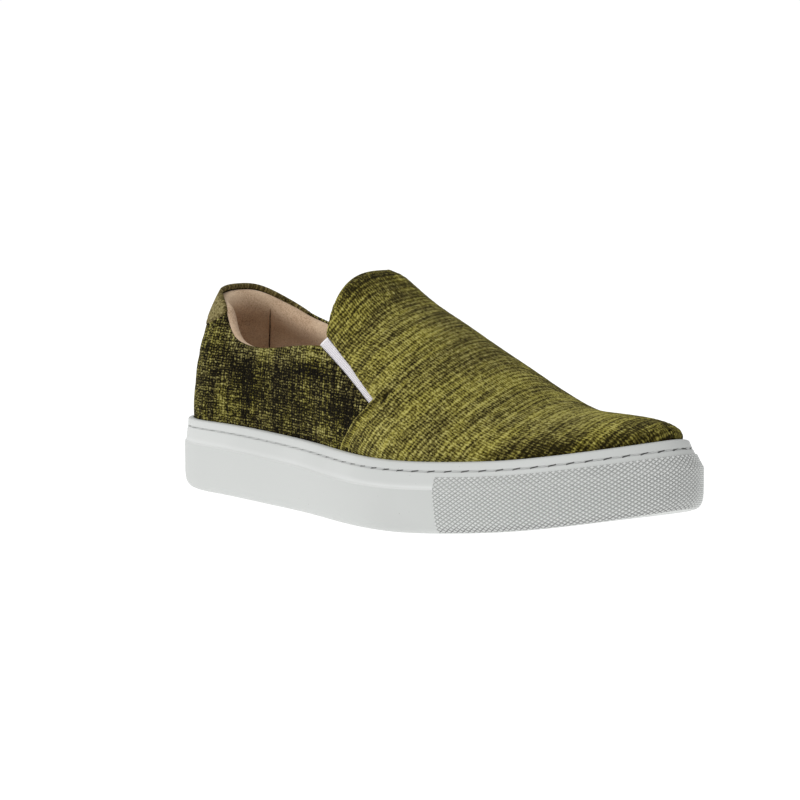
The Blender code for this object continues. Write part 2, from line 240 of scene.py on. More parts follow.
plan_middle = smooth_curve(PLAN, "middle")
plan_half_width = smooth_curve(PLAN, "half_width")
rim_height = smooth_curve(RIM, "height")
rim_inset = smooth_curve(RIM, "inset")
base_thickness = smooth_curve(BASE, "thickness")
crown = smooth_curve(SECTIONS, "crown")
ridge = smooth_curve(SECTIONS, "ridge")
ridge_shift = smooth_curve(SECTIONS, "shift")
lateral_fullness = smooth_curve(SECTIONS, "lateral_fullness")
medial_fullness = smooth_curve(SECTIONS, "medial_fullness")
collar = {
    LATERAL: smooth_curve(COLLAR, "lateral"),
    MEDIAL: smooth_curve(COLLAR, "medial"),
}


def share_of(angle):
    return (1 - np.cos(angle)) / 2


def angle_of(share):
    return np.arccos(1 - 2 * np.asarray(share, dtype=float))


def side_of(angle):
    return np.where(np.mod(angle, TURN) <= TURN / 2, LATERAL, MEDIAL)


def around(side, angle):
    """Angle on one side of the shoe: the medial side runs the other way round."""
    return angle if side == LATERAL else TURN - angle


def rounded_end(distance, power):
    """Width factor that closes an end of the outline with a round curve."""
    distance = np.clip(distance, 0, 1)
    return (1 - (1 - distance) ** power) ** (1 / power)


def outline(angle):
    """Widest outline of the sole, seen from above."""
    share = share_of(angle)
    half = plan_half_width(share)
    half = half * rounded_end(share / HEEL_END, HEEL_FULLNESS)
    half = half * rounded_end((1 - share) / TOE_END, TOE_FULLNESS)
    return np.stack([LENGTH * share, plan_middle(share) + side_of(angle) * half], axis=-1)


def inward(angle):
    """Unit normal of the outline, towards the inside of the shoe."""
    step = 0.001
    along = outline(angle + step) - outline(angle - step)
    along = along / np.linalg.norm(along, axis=-1, keepdims=True)
    return np.stack([-along[..., 1], along[..., 0]], axis=-1)


def ring(angle, inset, height):
    """Points of the outline moved in by the inset, at the given height."""
    angle, inset, height = np.broadcast_arrays(angle, inset, height)
    flat = outline(angle) + inward(angle) * inset[..., None]
    return np.concatenate([flat, height[..., None]], axis=-1)


def tread_height(share):
    """Underside of the sole: flat, then lifted towards the toe."""
    lift = np.clip((share - SPRING_START) / (1 - SPRING_START), 0, 1)
    return TOE_SPRING * lift ** 2


def cup_floor(share):
    return tread_height(share) + base_thickness(share)


def feather_inset(share):
    """Inset of the upper's outer face where it stands in the cup."""
    return rim_inset(share) + LIP + GAP


def arc_lengths(points):
    """Distance of each point of a line from its start, along the line."""
    lengths = np.linalg.norm(np.diff(points, axis=-2), axis=-1)
    start = np.zeros(lengths.shape[:-1] + (1,))
    return np.concatenate([start, np.cumsum(lengths, axis=-1)], axis=-1)


def section(angles):
    """Sections of the upper: points from the rim to the ridge, and the girth of each."""
    share = share_of(angles)
    foot = ring(angles, feather_inset(share), rim_height(share))
    top = np.stack([LENGTH * share + ridge_shift(share), ridge(share), crown(share)], axis=-1)
    turn = np.linspace(0, np.pi / 2, SECTION_SAMPLES)
    full = np.where(side_of(angles) == LATERAL, lateral_fullness(share), medial_fullness(share))
    power = 2 / full[:, None]
    over = 1 - np.clip(np.cos(turn), 0, 1) ** power
    up = np.sin(turn) ** power
    blend = np.stack([over, over, up], axis=-1)
    points = foot[:, None] + (top - foot)[:, None] * blend
    girth = arc_lengths(points)
    return points, girth / girth[:, -1:]


def smooth_step(value):
    value = np.clip(value, 0, 1)
    return value * value * (3 - 2 * value)


def hump(distance):
    """Soft bump: 1 at distance 0, and 0 from distance 1 on."""
    return 1 - smooth_step(np.abs(distance))


def rise(value, start, width):
    """Soft step from 0 at the start to 1 a width further on."""
    return smooth_step((value - start) / width)


def bell(value, middle, half):
    """Soft bump: 1 in the middle, and 0 from a half width away."""
    return hump((value - middle) / half)


def drift(along, over, seed):
    """Smooth noise from -1 to 1 that changes about once per unit in both directions."""
    lattice = np.random.default_rng(seed).uniform(-1, 1, (NOISE_SIZE, NOISE_SIZE))
    along, over = np.broadcast_arrays(along, over)
    column = np.floor(along).astype(int)
    row = np.floor(over).astype(int)
    right = smooth_step(along - column)
    up = smooth_step(over - row)
    total = 0.0
    for step_right, part_right in ((0, 1 - right), (1, right)):
        for step_up, part_up in ((0, 1 - up), (1, up)):
            value = lattice[(column + step_right) % NOISE_SIZE, (row + step_up) % NOISE_SIZE]
            total = total + value * part_right * part_up
    return total


class Last:
    """Outer face of the upper, sampled once: points and normals by angle and girth."""

    def __init__(self):
        angles = np.linspace(0, TURN, ANGLE_SAMPLES + 1)
        raw, girth = section(angles)
        even = np.linspace(0, 1, GIRTH_SAMPLES + 1)
        self.points = np.empty((len(angles), len(even), 3))
        for column in range(len(angles)):
            for axis in range(3):
                self.points[column, :, axis] = np.interp(even, girth[column], raw[column, :, axis])
        along = np.roll(self.points[:-1], -1, axis=0) - np.roll(self.points[:-1], 1, axis=0)
        along = np.concatenate([along, along[:1]])
        up = np.gradient(self.points, axis=1)
        normals = np.cross(along, up)
        sizes = np.linalg.norm(normals, axis=2, keepdims=True)
        self.normals = np.where(sizes > TINY, normals / np.maximum(sizes, TINY), UPRIGHT)

    def look_up(self, values, angle, girth):
        angle, girth = np.broadcast_arrays(angle, girth)
        across = np.mod(angle, TURN) / TURN * ANGLE_SAMPLES
        column = np.clip(np.floor(across).astype(int), 0, ANGLE_SAMPLES - 1)
        right = (across - column)[..., None]
        climb = np.clip(girth, 0, 1) * GIRTH_SAMPLES
        row = np.clip(np.floor(climb).astype(int), 0, GIRTH_SAMPLES - 1)
        up = (climb - row)[..., None]
        low = values[column, row] * (1 - right) + values[column + 1, row] * right
        high = values[column, row + 1] * (1 - right) + values[column + 1, row + 1] * right
        return low * (1 - up) + high * up

    def at(self, angle, girth):
        return self.look_up(self.points, angle, girth)

    def normal(self, angle, girth):
        normal = self.look_up(self.normals, angle, girth)
        return normal / np.linalg.norm(normal, axis=-1, keepdims=True)

    def girth_at_height(self, angle, height):
        """Girths where the section at each angle reaches the heights in its column."""
        even = np.linspace(0, 1, GIRTH_SAMPLES + 1)
        found = np.empty(height.shape)
        for column in range(len(angle)):
            heights = self.at(angle[column], even)[:, 2]
            found[..., column] = np.interp(height[..., column], heights, even)
        return found


last = Last()


def frame_origin():
    """Middle of the outline on the floor, in the tables' coordinates."""
    flat = outline(np.linspace(0, TURN, OUTLINE_SAMPLES))
    middle = (flat.min(axis=0) + flat.max(axis=0)) / 2
    return np.array([*middle, 0.0])


ORIGIN = frame_origin()


# Meshes

def grid_faces(numbers):
    """Quads between rows of point numbers."""
    low_left = numbers[:-1, :-1].ravel()
    low_right = numbers[:-1, 1:].ravel()
    high_right = numbers[1:, 1:].ravel()
    high_left = numbers[1:, :-1].ravel()
    return np.stack([low_left, low_right, high_right, high_left], axis=1)


def border(faces):
    """Directed edges that belong to one face only."""
    edges = np.concatenate([faces[:, [corner, (corner + 1) % 4]] for corner in range(4)])
    edges = edges[edges[:, 0] != edges[:, 1]]
    ordered = np.sort(edges, axis=1)
    keys = ordered[:, 0] * (faces.max() + 1) + ordered[:, 1]
    _, place, count = np.unique(keys, return_inverse=True, return_counts=True)
    return edges[count[place] == 1]


class Sheet:
    """Quads with a normal, two cloth coordinates and a tone at each point."""

    def __init__(self, points, normals, faces, cloth, tone):
        self.points = points
        self.normals = normals
        self.faces = faces
        self.cloth = cloth
        self.tone = tone

    def hem(self, fold, skirt=None, is_skirt=None, cloth_step=(0.0, 0.0)):
        """Turns the border in: rows of (distance past the edge, height over the face).

        Points marked in is_skirt take the rows of skirt in place of those of fold.
        """
        edges = border(self.faces)
        ends = np.unique(edges)
        outward = np.zeros_like(self.points)
        along = self.points[edges[:, 1]] - self.points[edges[:, 0]]
        for corner in range(2):
            out = np.cross(along, self.normals[edges[:, corner]])
            np.add.at(outward, edges[:, corner], out)
        outward = outward[ends]
        outward /= np.maximum(np.linalg.norm(outward, axis=1, keepdims=True), TINY)
        chosen = np.zeros((len(ends), 1), bool) if is_skirt is None else is_skirt[ends, None]
        place = np.full(len(self.points), -1)
        place[ends] = np.arange(len(ends))
        left, right = place[edges].T
        start = self.points[ends]
        normal = self.normals[ends]
        before = ends
        for row, steps in enumerate(zip(fold, skirt or fold), start=1):
            usual, other = (outward * out + normal * height for out, height in steps)
            numbers = len(self.points) + np.arange(len(ends))
            moved = self.cloth[ends] + row * np.array(cloth_step)
            new = np.stack([before[right], before[left], numbers[left], numbers[right]], axis=1)
            self.points = np.concatenate([self.points, start + np.where(chosen, other, usual)])
            self.normals = np.concatenate([self.normals, normal])
            self.cloth = np.concatenate([self.cloth, moved])
            self.tone = np.concatenate([self.tone, self.tone[ends]])
            self.faces = np.concatenate([self.faces, new])
            before = numbers


def grid_sheet(points, normals, along, over, tone=0.0, turned=False):
    """Sheet of a grid of points, with its faces turned over where the grid runs the other way."""
    shape = points.shape[:2]
    faces = grid_faces(np.arange(shape[0] * shape[1]).reshape(shape))
    along, over, tone = (np.broadcast_to(values, shape).ravel() for values in (along, over, tone))
    return Sheet(points.reshape(-1, 3), normals.reshape(-1, 3), faces[:, ::-1] if turned else faces,
                 np.stack([along, over], axis=1), tone)


def row_mask(shape, row):
    """Marks of the points in one row of a grid."""
    mask = np.zeros(shape, dtype=bool)
    mask[row] = True
    return mask.ravel()


def add_piece(name, sheet, finish, slot, *nodes, flat=None, sharp=None):
    """Object of a sheet in the shared frame, riding on the one body."""
    mesh = bpy.data.meshes.new(name)
    faces = [list(dict.fromkeys(face)) for face in sheet.faces.tolist()]
    kept = [len(face) > 2 for face in faces]
    faces = [face for face, keep in zip(faces, kept) if keep]
    mesh.from_pydata(((sheet.points - ORIGIN) * MM).tolist(), [], faces)
    corners = np.zeros(len(mesh.loops), dtype=np.int32)
    mesh.loops.foreach_get("vertex_index", corners)
    layer = mesh.uv_layers.new(name="cloth")
    layer.data.foreach_set("uv", sheet.cloth[corners].astype(np.float32).ravel())
    tone = mesh.attributes.new("tone", "FLOAT", "POINT")
    tone.data.foreach_set("value", sheet.tone.astype(np.float32))
    mesh.shade_smooth()
    if flat is not None:
        mesh.polygons.foreach_set("use_smooth", ~flat[np.array(kept)])
    if sharp is not None:
        mesh.set_sharp_from_angle(angle=np.radians(sharp))
    mesh.materials.append(finish)
    mesh.update()
    piece = bpy.data.objects.new(name, mesh)
    bpy.context.scene.collection.objects.link(piece)
    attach(piece, "root")
    if nodes:
        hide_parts(*nodes)
    return piece


# Ribs of the cloth, shared by the vamp and the quarters

RIB_ROWS = 4
RIB_WIDTH = (1.7, 2.3)
RIB_HEIGHT = 0.22
RIB_MIDDLE = 0.6
SWELL = (0.75, 0.45)
SWELL_LENGTH = 11.0
SWELL_STEP = 3.7
WANDER = 0.12
WANDER_LENGTH = 17.0
WANDER_RIBS = 5.0


def yarn_rows(start, end, random):
    """Places of the mesh rows of ribs of uneven width, and the rib number of each."""
    places, numbers = [], []
    place, number = start, 0
    direction = 1 if end > start else -1
    while (end - place) * direction > 0:
        width = random.uniform(*RIB_WIDTH)
        for row in range(RIB_ROWS):
            places.append(place + direction * width * row / RIB_ROWS)
            numbers.append(direction * (number + row / RIB_ROWS))
        place += direction * width
        number += 1
    places, numbers = np.array(places), np.array(numbers)
    kept = (end - places) * direction > 0
    return places[kept], numbers[kept]


def rib_relief(numbers, along, seed):
    """Height of the ribs: round yarns that swell and thin along their length."""
    phase = np.abs(np.sin(np.pi * numbers))
    yarn = np.floor(numbers + 1e-6)
    swell = SWELL[0] + SWELL[1] * drift(along / SWELL_LENGTH, yarn * SWELL_STEP, seed)
    wander = WANDER * drift(along / WANDER_LENGTH, numbers / WANDER_RIBS, seed + 1)
    return RIB_HEIGHT * swell * (phase - RIB_MIDDLE) + wander


# Vamp

RIB_NORMAL = (0.735, 0.284, -0.616)
RIB_TURN = -5.0
RIB_LEVEL = 12.0
FIELD_START = 0.36
FIELD_ANGLES = 640
FIELD_GIRTHS = 241
SEAM_FADE = 60.0
FADE_TOP = 0.95
THROAT_FADE = 20.0
CORNER_MARGIN = 0.01
END_MARGIN = 0.3
SEAM_POINTS = 30
TONGUE_POINTS = 118
TRACE_SAMPLES = 200
VAMP_FOLD = ((0.25, -0.20), (0.35, -0.65), (0.15, -1.15), (-0.90, -1.50))
VAMP_CLOTH_STEP = (0.0, -0.24)
RIM_SKIRT = ((1.0, 0.0), (2.0, 0.0), (3.0, -0.1), (4.0, -0.2))
RIM_MARGIN = 0.4
LINING_DEPTH = 1.9
CREASE_PLACE = (163.0, 50.9)
CREASE_LEAN = -0.1
CREASE_HALF = (1.5, 3.2)
CREASE_DEPTH = 0.7
CREASE_SHADOW = 0.75
THROAT_ROLL = 1.1
THROAT_WIDTH = 5.0
THROAT_MARGIN = 0.02
SEAM_BAND = 0.03
CHANNEL_DEPTH = 0.55
WELT_HEIGHT = 0.30
BACK_SEED = 11
FRONT_SEED = 12
VAMP_SEED = 21
VAMP_SHADES = {
    "toe_rim": -0.36,
    "hem": 0.04,
    # furrow: painted shadow on the lateral shoulder behind the throat
    "furrow": -0.28,
    "low_side": 0.04,
    "back": -0.12,
    # front: painted light on the top of the toe
    "front": 0.42,
}
# furrow: painted shadow in the furrow in front of the vamp's folded edge
SEAM_SHADES = {"edge": -0.04, "furrow": -0.42, "next_rib": 0.08}


def collar_height(side, share):
    """Height of the collar's edge, for one side or for the side of each place."""
    return np.where(np.equal(side, LATERAL), collar[LATERAL](share), collar[MEDIAL](share))


def quarter_edge_heights(side):
    """Heights along the quarter's front edge, from the rim to the collar."""
    rise_part, share = QUARTER_EDGE.values()
    low = rim_height(share)
    return low + rise_part * (collar_height(side, share) - low)


def vamp_edge(side):
    """Back edge of the vamp, from the rim to the ridge: girths and shares."""
    shares = np.append(QUARTER_EDGE["share"][:SEAM_ROWS], SLOT["share"])
    over = np.append(np.zeros(SEAM_ROWS), SLOT["over"])
    heights = quarter_edge_heights(side) + over
    girths = last.girth_at_height(around(side, angle_of(shares)), heights)
    climb = girths[-1] + THROAT["climb"] * (1 - girths[-1])
    return np.append(girths, climb), np.append(shares, THROAT["share"])


def rib_plane(points):
    """Place of a point across the ribs: slanted planes that level out past the ridge."""
    past = np.maximum(points[..., 1] - RIB_TURN, 0)
    levelled = RIB_TURN + RIB_LEVEL * (1 - np.exp(-past / RIB_LEVEL))
    sideways = np.where(past > 0, levelled, points[..., 1])
    forward, aside, up = RIB_NORMAL
    return points[..., 0] * forward + sideways * aside + points[..., 2] * up


class VampSide:
    """One half of the vamp: the ribs' field over angle and girth, and its back edge."""

    def __init__(self, side):
        self.side = side
        self.angles = np.linspace(angle_of(FIELD_START), np.pi, FIELD_ANGLES)
        self.girths = np.linspace(0, 1, FIELD_GIRTHS)
        self.plane = rib_plane(last.at(around(side, self.angles)[:, None], self.girths))
        edge_girths, edge_shares = vamp_edge(side)
        self.corner = edge_girths[SEAM_ROWS]
        self.edge_angle = angle_of(np.interp(self.girths, edge_girths, edge_shares))
        self.edge_plane = self.along_edge(self.plane)
        self.corner_plane = np.interp(self.corner, self.girths, self.edge_plane)

    def along_edge(self, field):
        """Values of a field along the back edge."""
        places = enumerate(self.edge_angle)
        return np.array([np.interp(angle, self.angles, field[:, row]) for row, angle in places])

    def settle(self, seam):
        """Bends the field so that the seam lies on one rib, and no rib ends above the throat."""
        above = self.girths > self.corner
        start = np.where(above, self.corner_plane, self.edge_plane)
        climb = rise(self.girths, self.corner, FADE_TOP - self.corner)
        shift = (start - seam) * np.where(above, 1 - climb, 1.0)
        self.field = self.plane - shift * np.exp(-np.abs(self.plane - start) / SEAM_FADE)
        edge = self.along_edge(self.field)
        lack = np.where(above, np.maximum(edge[-1] - edge, 0), 0)
        self.field = self.field + lack * np.exp(-np.abs(self.field - edge) / THROAT_FADE)

    def trace(self, value, in_front):
        """Angles, girths and distances along one rib, from its lower end to the top."""
        front = self.field[-1]
        top = 1.0 if front[-1] >= value else np.interp(-value, -front, self.girths)
        reached = np.array([np.interp(value, column, self.angles) for column in self.field.T])
        inside = front >= value
        start = 0.0
        if not in_front:
            ahead = reached - self.edge_angle
            usable = inside & (self.girths >= self.corner - CORNER_MARGIN)
            first = np.argmax(usable & (ahead >= 0))
            before = max(first - 1, 0)
            span = ahead[first] - ahead[before]
            part = np.clip(-ahead[before] / span if span > 0 else 1.0, 0, 1)
            start = self.girths[before] + part * (self.girths[first] - self.girths[before])
        girths = start + (top - start) * np.linspace(0, 1, TRACE_SAMPLES)
        known_girths = np.append(self.girths[inside], top) if top < 1 else self.girths
        known_angles = np.append(reached[inside], np.pi) if top < 1 else reached
        angles = around(self.side, np.interp(girths, known_girths, known_angles))
        return angles, girths, arc_lengths(last.at(angles, girths))


def sample_rib(near, far, fractions):
    """Angles, girths and distances from the ridge at fractions of a rib traced on both sides."""
    top = near[2][-1]
    total = top + far[2][-1]
    reach = fractions * total
    found = []
    for near_values, far_values in zip(near[:2], far[:2]):
        on_near = np.interp(reach, near[2], near_values)
        on_far = np.interp(total - reach, far[2], far_values)
        found.append(np.where(reach <= top, on_near, on_far))
    return (*found, reach - top)


def seam_fractions(near, far, corners):
    """Fractions of the first rib in front of the seam, with points at both slot corners."""
    total = near[2][-1] + far[2][-1]
    first = np.interp(corners[0], *near[1:]) / total
    second = 1 - np.interp(corners[1], *far[1:]) / total
    low = np.linspace(0, first, SEAM_POINTS, endpoint=False)
    middle = np.linspace(first, second, TONGUE_POINTS)
    high = np.linspace(second, 1, SEAM_POINTS + 1)[1:]
    return np.concatenate([low, middle, high])


def vamp_rows(lateral, medial):
    """Angle, girth, distance from the ridge and rib number of each point, and the faces."""
    seam = lateral.corner_plane
    throat = np.interp(angle_of(THROAT["share"][-1]), lateral.angles, lateral.field[:, -1])
    tip = lateral.field[-1, 0]
    back = yarn_rows(seam, throat + END_MARGIN, np.random.default_rng(BACK_SEED))
    front = yarn_rows(seam, tip - END_MARGIN, np.random.default_rng(FRONT_SEED))
    back = [values[:0:-1] for values in back]
    corners = (lateral.corner, medial.corner)
    even = np.linspace(0, 1, TONGUE_POINTS)
    wide = seam_fractions(lateral.trace(seam, True), medial.trace(seam, True), corners)
    rows = []
    for (places, numbers), in_front, fractions in ((back, False, even), (front, True, wide)):
        for place, number in zip(places, numbers):
            rib = (half.trace(place, in_front) for half in (lateral, medial))
            rows.append((*sample_rib(*rib, fractions), np.full(len(fractions), number)))
    tongue_size = len(back[0]) * TONGUE_POINTS
    tongue = np.arange(tongue_size).reshape(-1, TONGUE_POINTS)
    grid = tongue_size + np.arange(len(front[0]) * len(wide)).reshape(-1, len(wide))
    shared = grid[:1, SEAM_POINTS:SEAM_POINTS + TONGUE_POINTS]
    faces = np.concatenate([grid_faces(np.concatenate([tongue, shared])), grid_faces(grid)])
    return *(np.concatenate(values) for values in zip(*rows)), faces[:, ::-1]


def build_vamp():
    """Cloth and lining of the vamp."""
    lateral, medial = VampSide(LATERAL), VampSide(MEDIAL)
    seam = lateral.corner_plane
    for half in (lateral, medial):
        half.settle(seam)
    angle, girth, along, number, faces = vamp_rows(lateral, medial)
    points = last.at(angle, girth)
    normals = last.normal(angle, girth)
    share = share_of(angle)
    clear = points[:, 2] - rim_height(share)
    raised = VAMP_STEP * np.clip(clear / STEP_RISE, 0, 1)
    beside_seam = (girth < lateral.corner + SEAM_BAND) & (number >= 0)
    channel = bell(number * 2, 3.2, 1.2) * CHANNEL_DEPTH - bell(number * 2, 1.5, 1.8) * WELT_HEIGHT
    relief = rib_relief(number, along, VAMP_SEED) - beside_seam * channel
    corner = np.where(along < 0, lateral.corner, medial.corner)
    past_throat = (share - THROAT["share"][-1]) * LENGTH
    behind = np.where(girth > corner - THROAT_MARGIN, past_throat, LENGTH)
    rolled = THROAT_ROLL * (1 - smooth_step(behind / THROAT_WIDTH)) ** 2
    lift = raised + relief - rolled - CREASE_DEPTH * slot_crease(points)
    tone = vamp_tone(points, clear, along, behind) + beside_seam * seam_tone(number)
    cloth = np.stack([along, number], axis=1)
    sheet = Sheet(points + normals * lift[:, None], normals, faces, cloth, tone)
    sheet.hem(VAMP_FOLD, RIM_SKIRT, clear < RIM_MARGIN, VAMP_CLOTH_STEP)
    inner = points - normals * LINING_DEPTH
    return sheet, Sheet(inner, -normals, faces[:, ::-1], cloth, np.zeros(len(points)))


def shaded(shades, areas):
    """Sum of areas, each with the strength of its name."""
    return sum(shades[name] * area for name, area in areas.items())


def vamp_tone(points, clear, along, behind):
    """Lighter and darker areas of the vamp."""
    x, _, z = points.T
    lateral = along < 0
    return shaded(VAMP_SHADES, {
        "toe_rim": rise(x, 205, 25) * bell(clear, 0, 9.0),
        "hem": bell(behind, 1.2, 1.6),
        # painted shadow on the lateral shoulder behind the throat
        "furrow": bell(behind, 5.0, 5.0) * bell(z, 93, 12) * lateral,
        "low_side": bell(x, 172, 32) * bell(clear, 6, 18) * lateral,
        "back": 1 - rise(x, 118, 50),
        # painted light on the top of the toe
        "front": rise(x, 205, 40) * rise(clear, 8, 10),
    })


def seam_tone(number):
    """Folded edge of the vamp, with painted shadow darkening the furrow in front of it."""
    return shaded(SEAM_SHADES, {
        "edge": bell(number, 0.3, 0.6),
        "furrow": bell(number, 1.15, 0.5),
        "next_rib": bell(number, 2.0, 0.5),
    })


def slot_crease(points):
    """1 along the short crease in front of the lateral slot's lower end."""
    x, y, z = points.T
    up = z - CREASE_PLACE[1]
    aside = x - CREASE_PLACE[0] - CREASE_LEAN * up
    return hump(up / CREASE_HALF[1]) * hump(aside / CREASE_HALF[0]) * (y < 0)


# Quarters

QUARTER_FRONT = 0.585
QUARTER_ROWS = 46
QUARTER_SAMPLES = 600
COLLAR_ROLL = 1.0
QUARTER_FOLD = ((0.20, -0.10), (0.30, -0.35), (0.10, -0.70), (-0.60, -0.90))
QUARTER_CLOTH_STEP = (0.5, 0.0)
PUCKER = 0.15
PUCKER_SIZE = 3
COLUMN_SEED = 31
QUARTER_SEED = 33
PUCKER_SEED = 34
BAND_TONE = (0.24, 0.14)
BAND_CHANGE = 0.40
QUARTER_PATCHES = table(
    "share height half_length half_height strength",
    (0.218, 47.0, 0.062, 16.0, -0.32),
    (0.40, 57.5, 0.11, 7.0, -0.26),
    # this row is painted shadow of the vamp's step on the quarter beside its edge
    (0.49, 42.0, 0.07, 12.0, -0.28),
    (0.138, 42.0, 0.04, 22.0, 0.15),
    (0.43, 34.0, 0.05, 5.0, 0.12),
    (0.06, 45.0, 0.05, 25.0, 0.12),
    (0.37, 42.0, 0.10, 10.0, -0.08),
)


def quarter_top(side, share):
    """Upper edge of the quarter: the collar, then the edge along the gore's slot."""
    brim = collar_height(side, share)
    edge = brim - COLLAR_ROLL
    slot_rise, slot_share = (values[:SEAM_ROWS - 1:-1] for values in QUARTER_EDGE.values())
    low = rim_height(share)
    slot = low + np.interp(share, slot_share, slot_rise) * (brim - low)
    return np.where(share > QUARTER_EDGE["share"][-1], np.minimum(slot, edge), edge)


def quarter_arcs(side, front):
    """Angles from the heel to a share, and their distances along the middle of the quarter."""
    dense = np.linspace(0, float(angle_of(front)), QUARTER_SAMPLES)
    share = share_of(dense)
    middle = (rim_height(share) + collar_height(side, share)) / 2
    turned = around(side, dense)
    return dense, arc_lengths(last.at(turned, last.girth_at_height(turned, middle)))


def quarter_columns():
    """Angles and rib numbers of the columns, from the lateral front round the heel."""
    random = np.random.default_rng(COLUMN_SEED)
    halves = []
    for side in (LATERAL, MEDIAL):
        dense, arcs = quarter_arcs(side, QUARTER_FRONT)
        places, numbers = yarn_rows(0.0, arcs[-1], random)
        halves.append((around(side, np.interp(places, arcs, dense)), side * numbers))
    return [np.concatenate([low[::-1], high[1:]]) for low, high in zip(*halves)]


def quarter_tone(share, height, top):
    """Lighter and darker areas of the quarters."""
    band = (1 - rise(top - height, 4.0, 4.0)) * rise(share, 0.10, 0.06)
    tone = band * np.where(share < BAND_CHANGE, *BAND_TONE)
    for place, level, length, depth, strength in zip(*QUARTER_PATCHES.values()):
        reach = ((share - place) / length) ** 2 + ((height - level) / depth) ** 2
        tone = tone + strength * hump(np.sqrt(reach))
    return tone


def build_quarter():
    """Cloth of both quarters, from one slot round the heel to the other."""
    angles, numbers = quarter_columns()
    share = share_of(angles)
    low = rim_height(share)
    top = quarter_top(side_of(angles), share)
    along = np.linspace(0, 1, QUARTER_ROWS + 1)[:, None] * (top - low)
    height = low + along
    girth = last.girth_at_height(angles, height)
    normals = last.normal(angles, girth)
    pucker = PUCKER * drift(numbers / PUCKER_SIZE, along / PUCKER_SIZE, PUCKER_SEED)
    relief = rib_relief(numbers, along, QUARTER_SEED) + pucker
    outer = last.at(angles, girth) + normals * relief[..., None]
    tone = quarter_tone(share, height, top)
    sheet = grid_sheet(outer, normals, along, numbers, tone, turned=True)
    sheet.hem(QUARTER_FOLD, RIM_SKIRT, row_mask(height.shape, 0), QUARTER_CLOTH_STEP)
    return sheet


# Heel tab

TAB_HEIGHT = 0.75
TAB_THINNER = 0.35
TAB_COLUMNS = 140
TAB_ROWS = 30
TAB_STITCH = 0.22
TAB_EDGE_SHADE = -0.32
TAB_FOLD = ((0.30, -0.15), (0.45, -0.50), (0.30, -0.95), (-0.50, -1.30))
TAB_TOP = ((0.30, -0.20), (0.45, -0.80), (0.10, -1.65), (-1.40, -1.80))


def build_tab():
    """Strip over the top of the heel, with its lower edge curved down at the back."""
    out = np.linspace(-1, 1, 2 * TAB_COLUMNS + 1)
    side = np.where(out < 0, LATERAL, MEDIAL)
    reach = np.abs(out) * angle_of(TAB_REACH)
    angle = np.where(out < 0, reach, TURN - reach)
    top = collar_height(side, share_of(angle)) - COLLAR_ROLL
    end = collar_height(side, TAB_REACH) - TAB_END_WIDTH - COLLAR_ROLL
    low = TAB_MIDDLE_HEIGHT + out ** TAB_CURVE * (end - TAB_MIDDLE_HEIGHT)
    over = np.linspace(0, 1, TAB_ROWS + 1)[:, None] * (top - low)
    height = low + over
    girth = last.girth_at_height(angle, height)
    points = last.at(angle, girth)
    normals = last.normal(angle, girth)
    thinner = TAB_THINNER * np.maximum(out ** 6, bell(over, 0, 2.5))
    lift = TAB_HEIGHT * (1 - thinner) - TAB_STITCH * bell(over, 2.0, 0.7)
    # painted shade along both edges of the strip, where it turns under
    edges = bell(over, 0.2, 0.8) + bell(top - height, 0, 1.6)
    sheet = grid_sheet(points + normals * lift[..., None], normals, arc_lengths(points), height,
                       TAB_EDGE_SHADE * edges, turned=True)
    sheet.hem(TAB_FOLD, TAB_TOP, row_mask(height.shape, -1))
    return sheet


# Gores

GORE_ROWS = 320
GORE_COLUMNS = 10
GORE_DEPTH = 0.55
GORE_TUCK = 0.8
GORE_UNDER = 1.6
GORE_RIB = 0.8
GORE_RIB_HEIGHT = 0.25
GORE_RIB_LEAN = 0.25
GORE_TRIM = 0.12
GORE_PLAIN_END = 1.5
GORE_FOLD = ((0.1, -0.1), (0.2, -0.2), (0.1, -0.35), (-0.3, -0.45))
GORE_TOP = ((0.15, -0.2), (0.20, -0.7), (0.05, -1.3), (-0.60, -1.8))


def build_gore(side):
    """Ribbed elastic between the quarter's edge and the vamp's edge."""
    low = quarter_edge_heights(side)[SEAM_ROWS:]
    rows = np.arange(len(low))
    steps = np.linspace(0, rows[-1] - GORE_TRIM, GORE_ROWS + 1)
    edges = []
    for shares, heights in (
        (QUARTER_EDGE["share"][SEAM_ROWS:], low),
        (SLOT["share"], low + SLOT["over"]),
    ):
        angle = around(side, angle_of(shares))
        girth = last.girth_at_height(angle, heights)
        edges.append([np.interp(steps, rows, values)[:, None] for values in (angle, girth)])
    back, front = edges
    width = np.linalg.norm(last.at(*front) - last.at(*back), axis=2)
    aside = np.linspace(-1, 1, GORE_COLUMNS + 1) * (0.5 + GORE_UNDER / width)
    part = 0.5 + aside
    angle, girth = (start + (end - start) * part for start, end in zip(back, front))
    points = last.at(angle, girth)
    normals = last.normal(angle, girth)
    along = arc_lengths(points[:, GORE_COLUMNS // 2])[:, None]
    lean = aside * width * GORE_RIB_LEAN
    wave = np.abs(np.sin(np.pi * (along + lean) / GORE_RIB))
    fade = smooth_step((along[-1] - along) / GORE_PLAIN_END)
    sink = GORE_DEPTH + GORE_TUCK * rise(np.abs(aside), 0.38, 0.2)
    outer = points + normals * (GORE_RIB_HEIGHT * wave * fade - sink)[..., None]
    # the tone paints shade in the furrows between the ribs
    sheet = grid_sheet(outer, normals, along, part * width, (1 - wave) * fade, side == LATERAL)
    sheet.hem(GORE_FOLD, GORE_TOP, row_mask(part.shape, -1))
    return sheet


# Lining of the quarters, with the padded collar

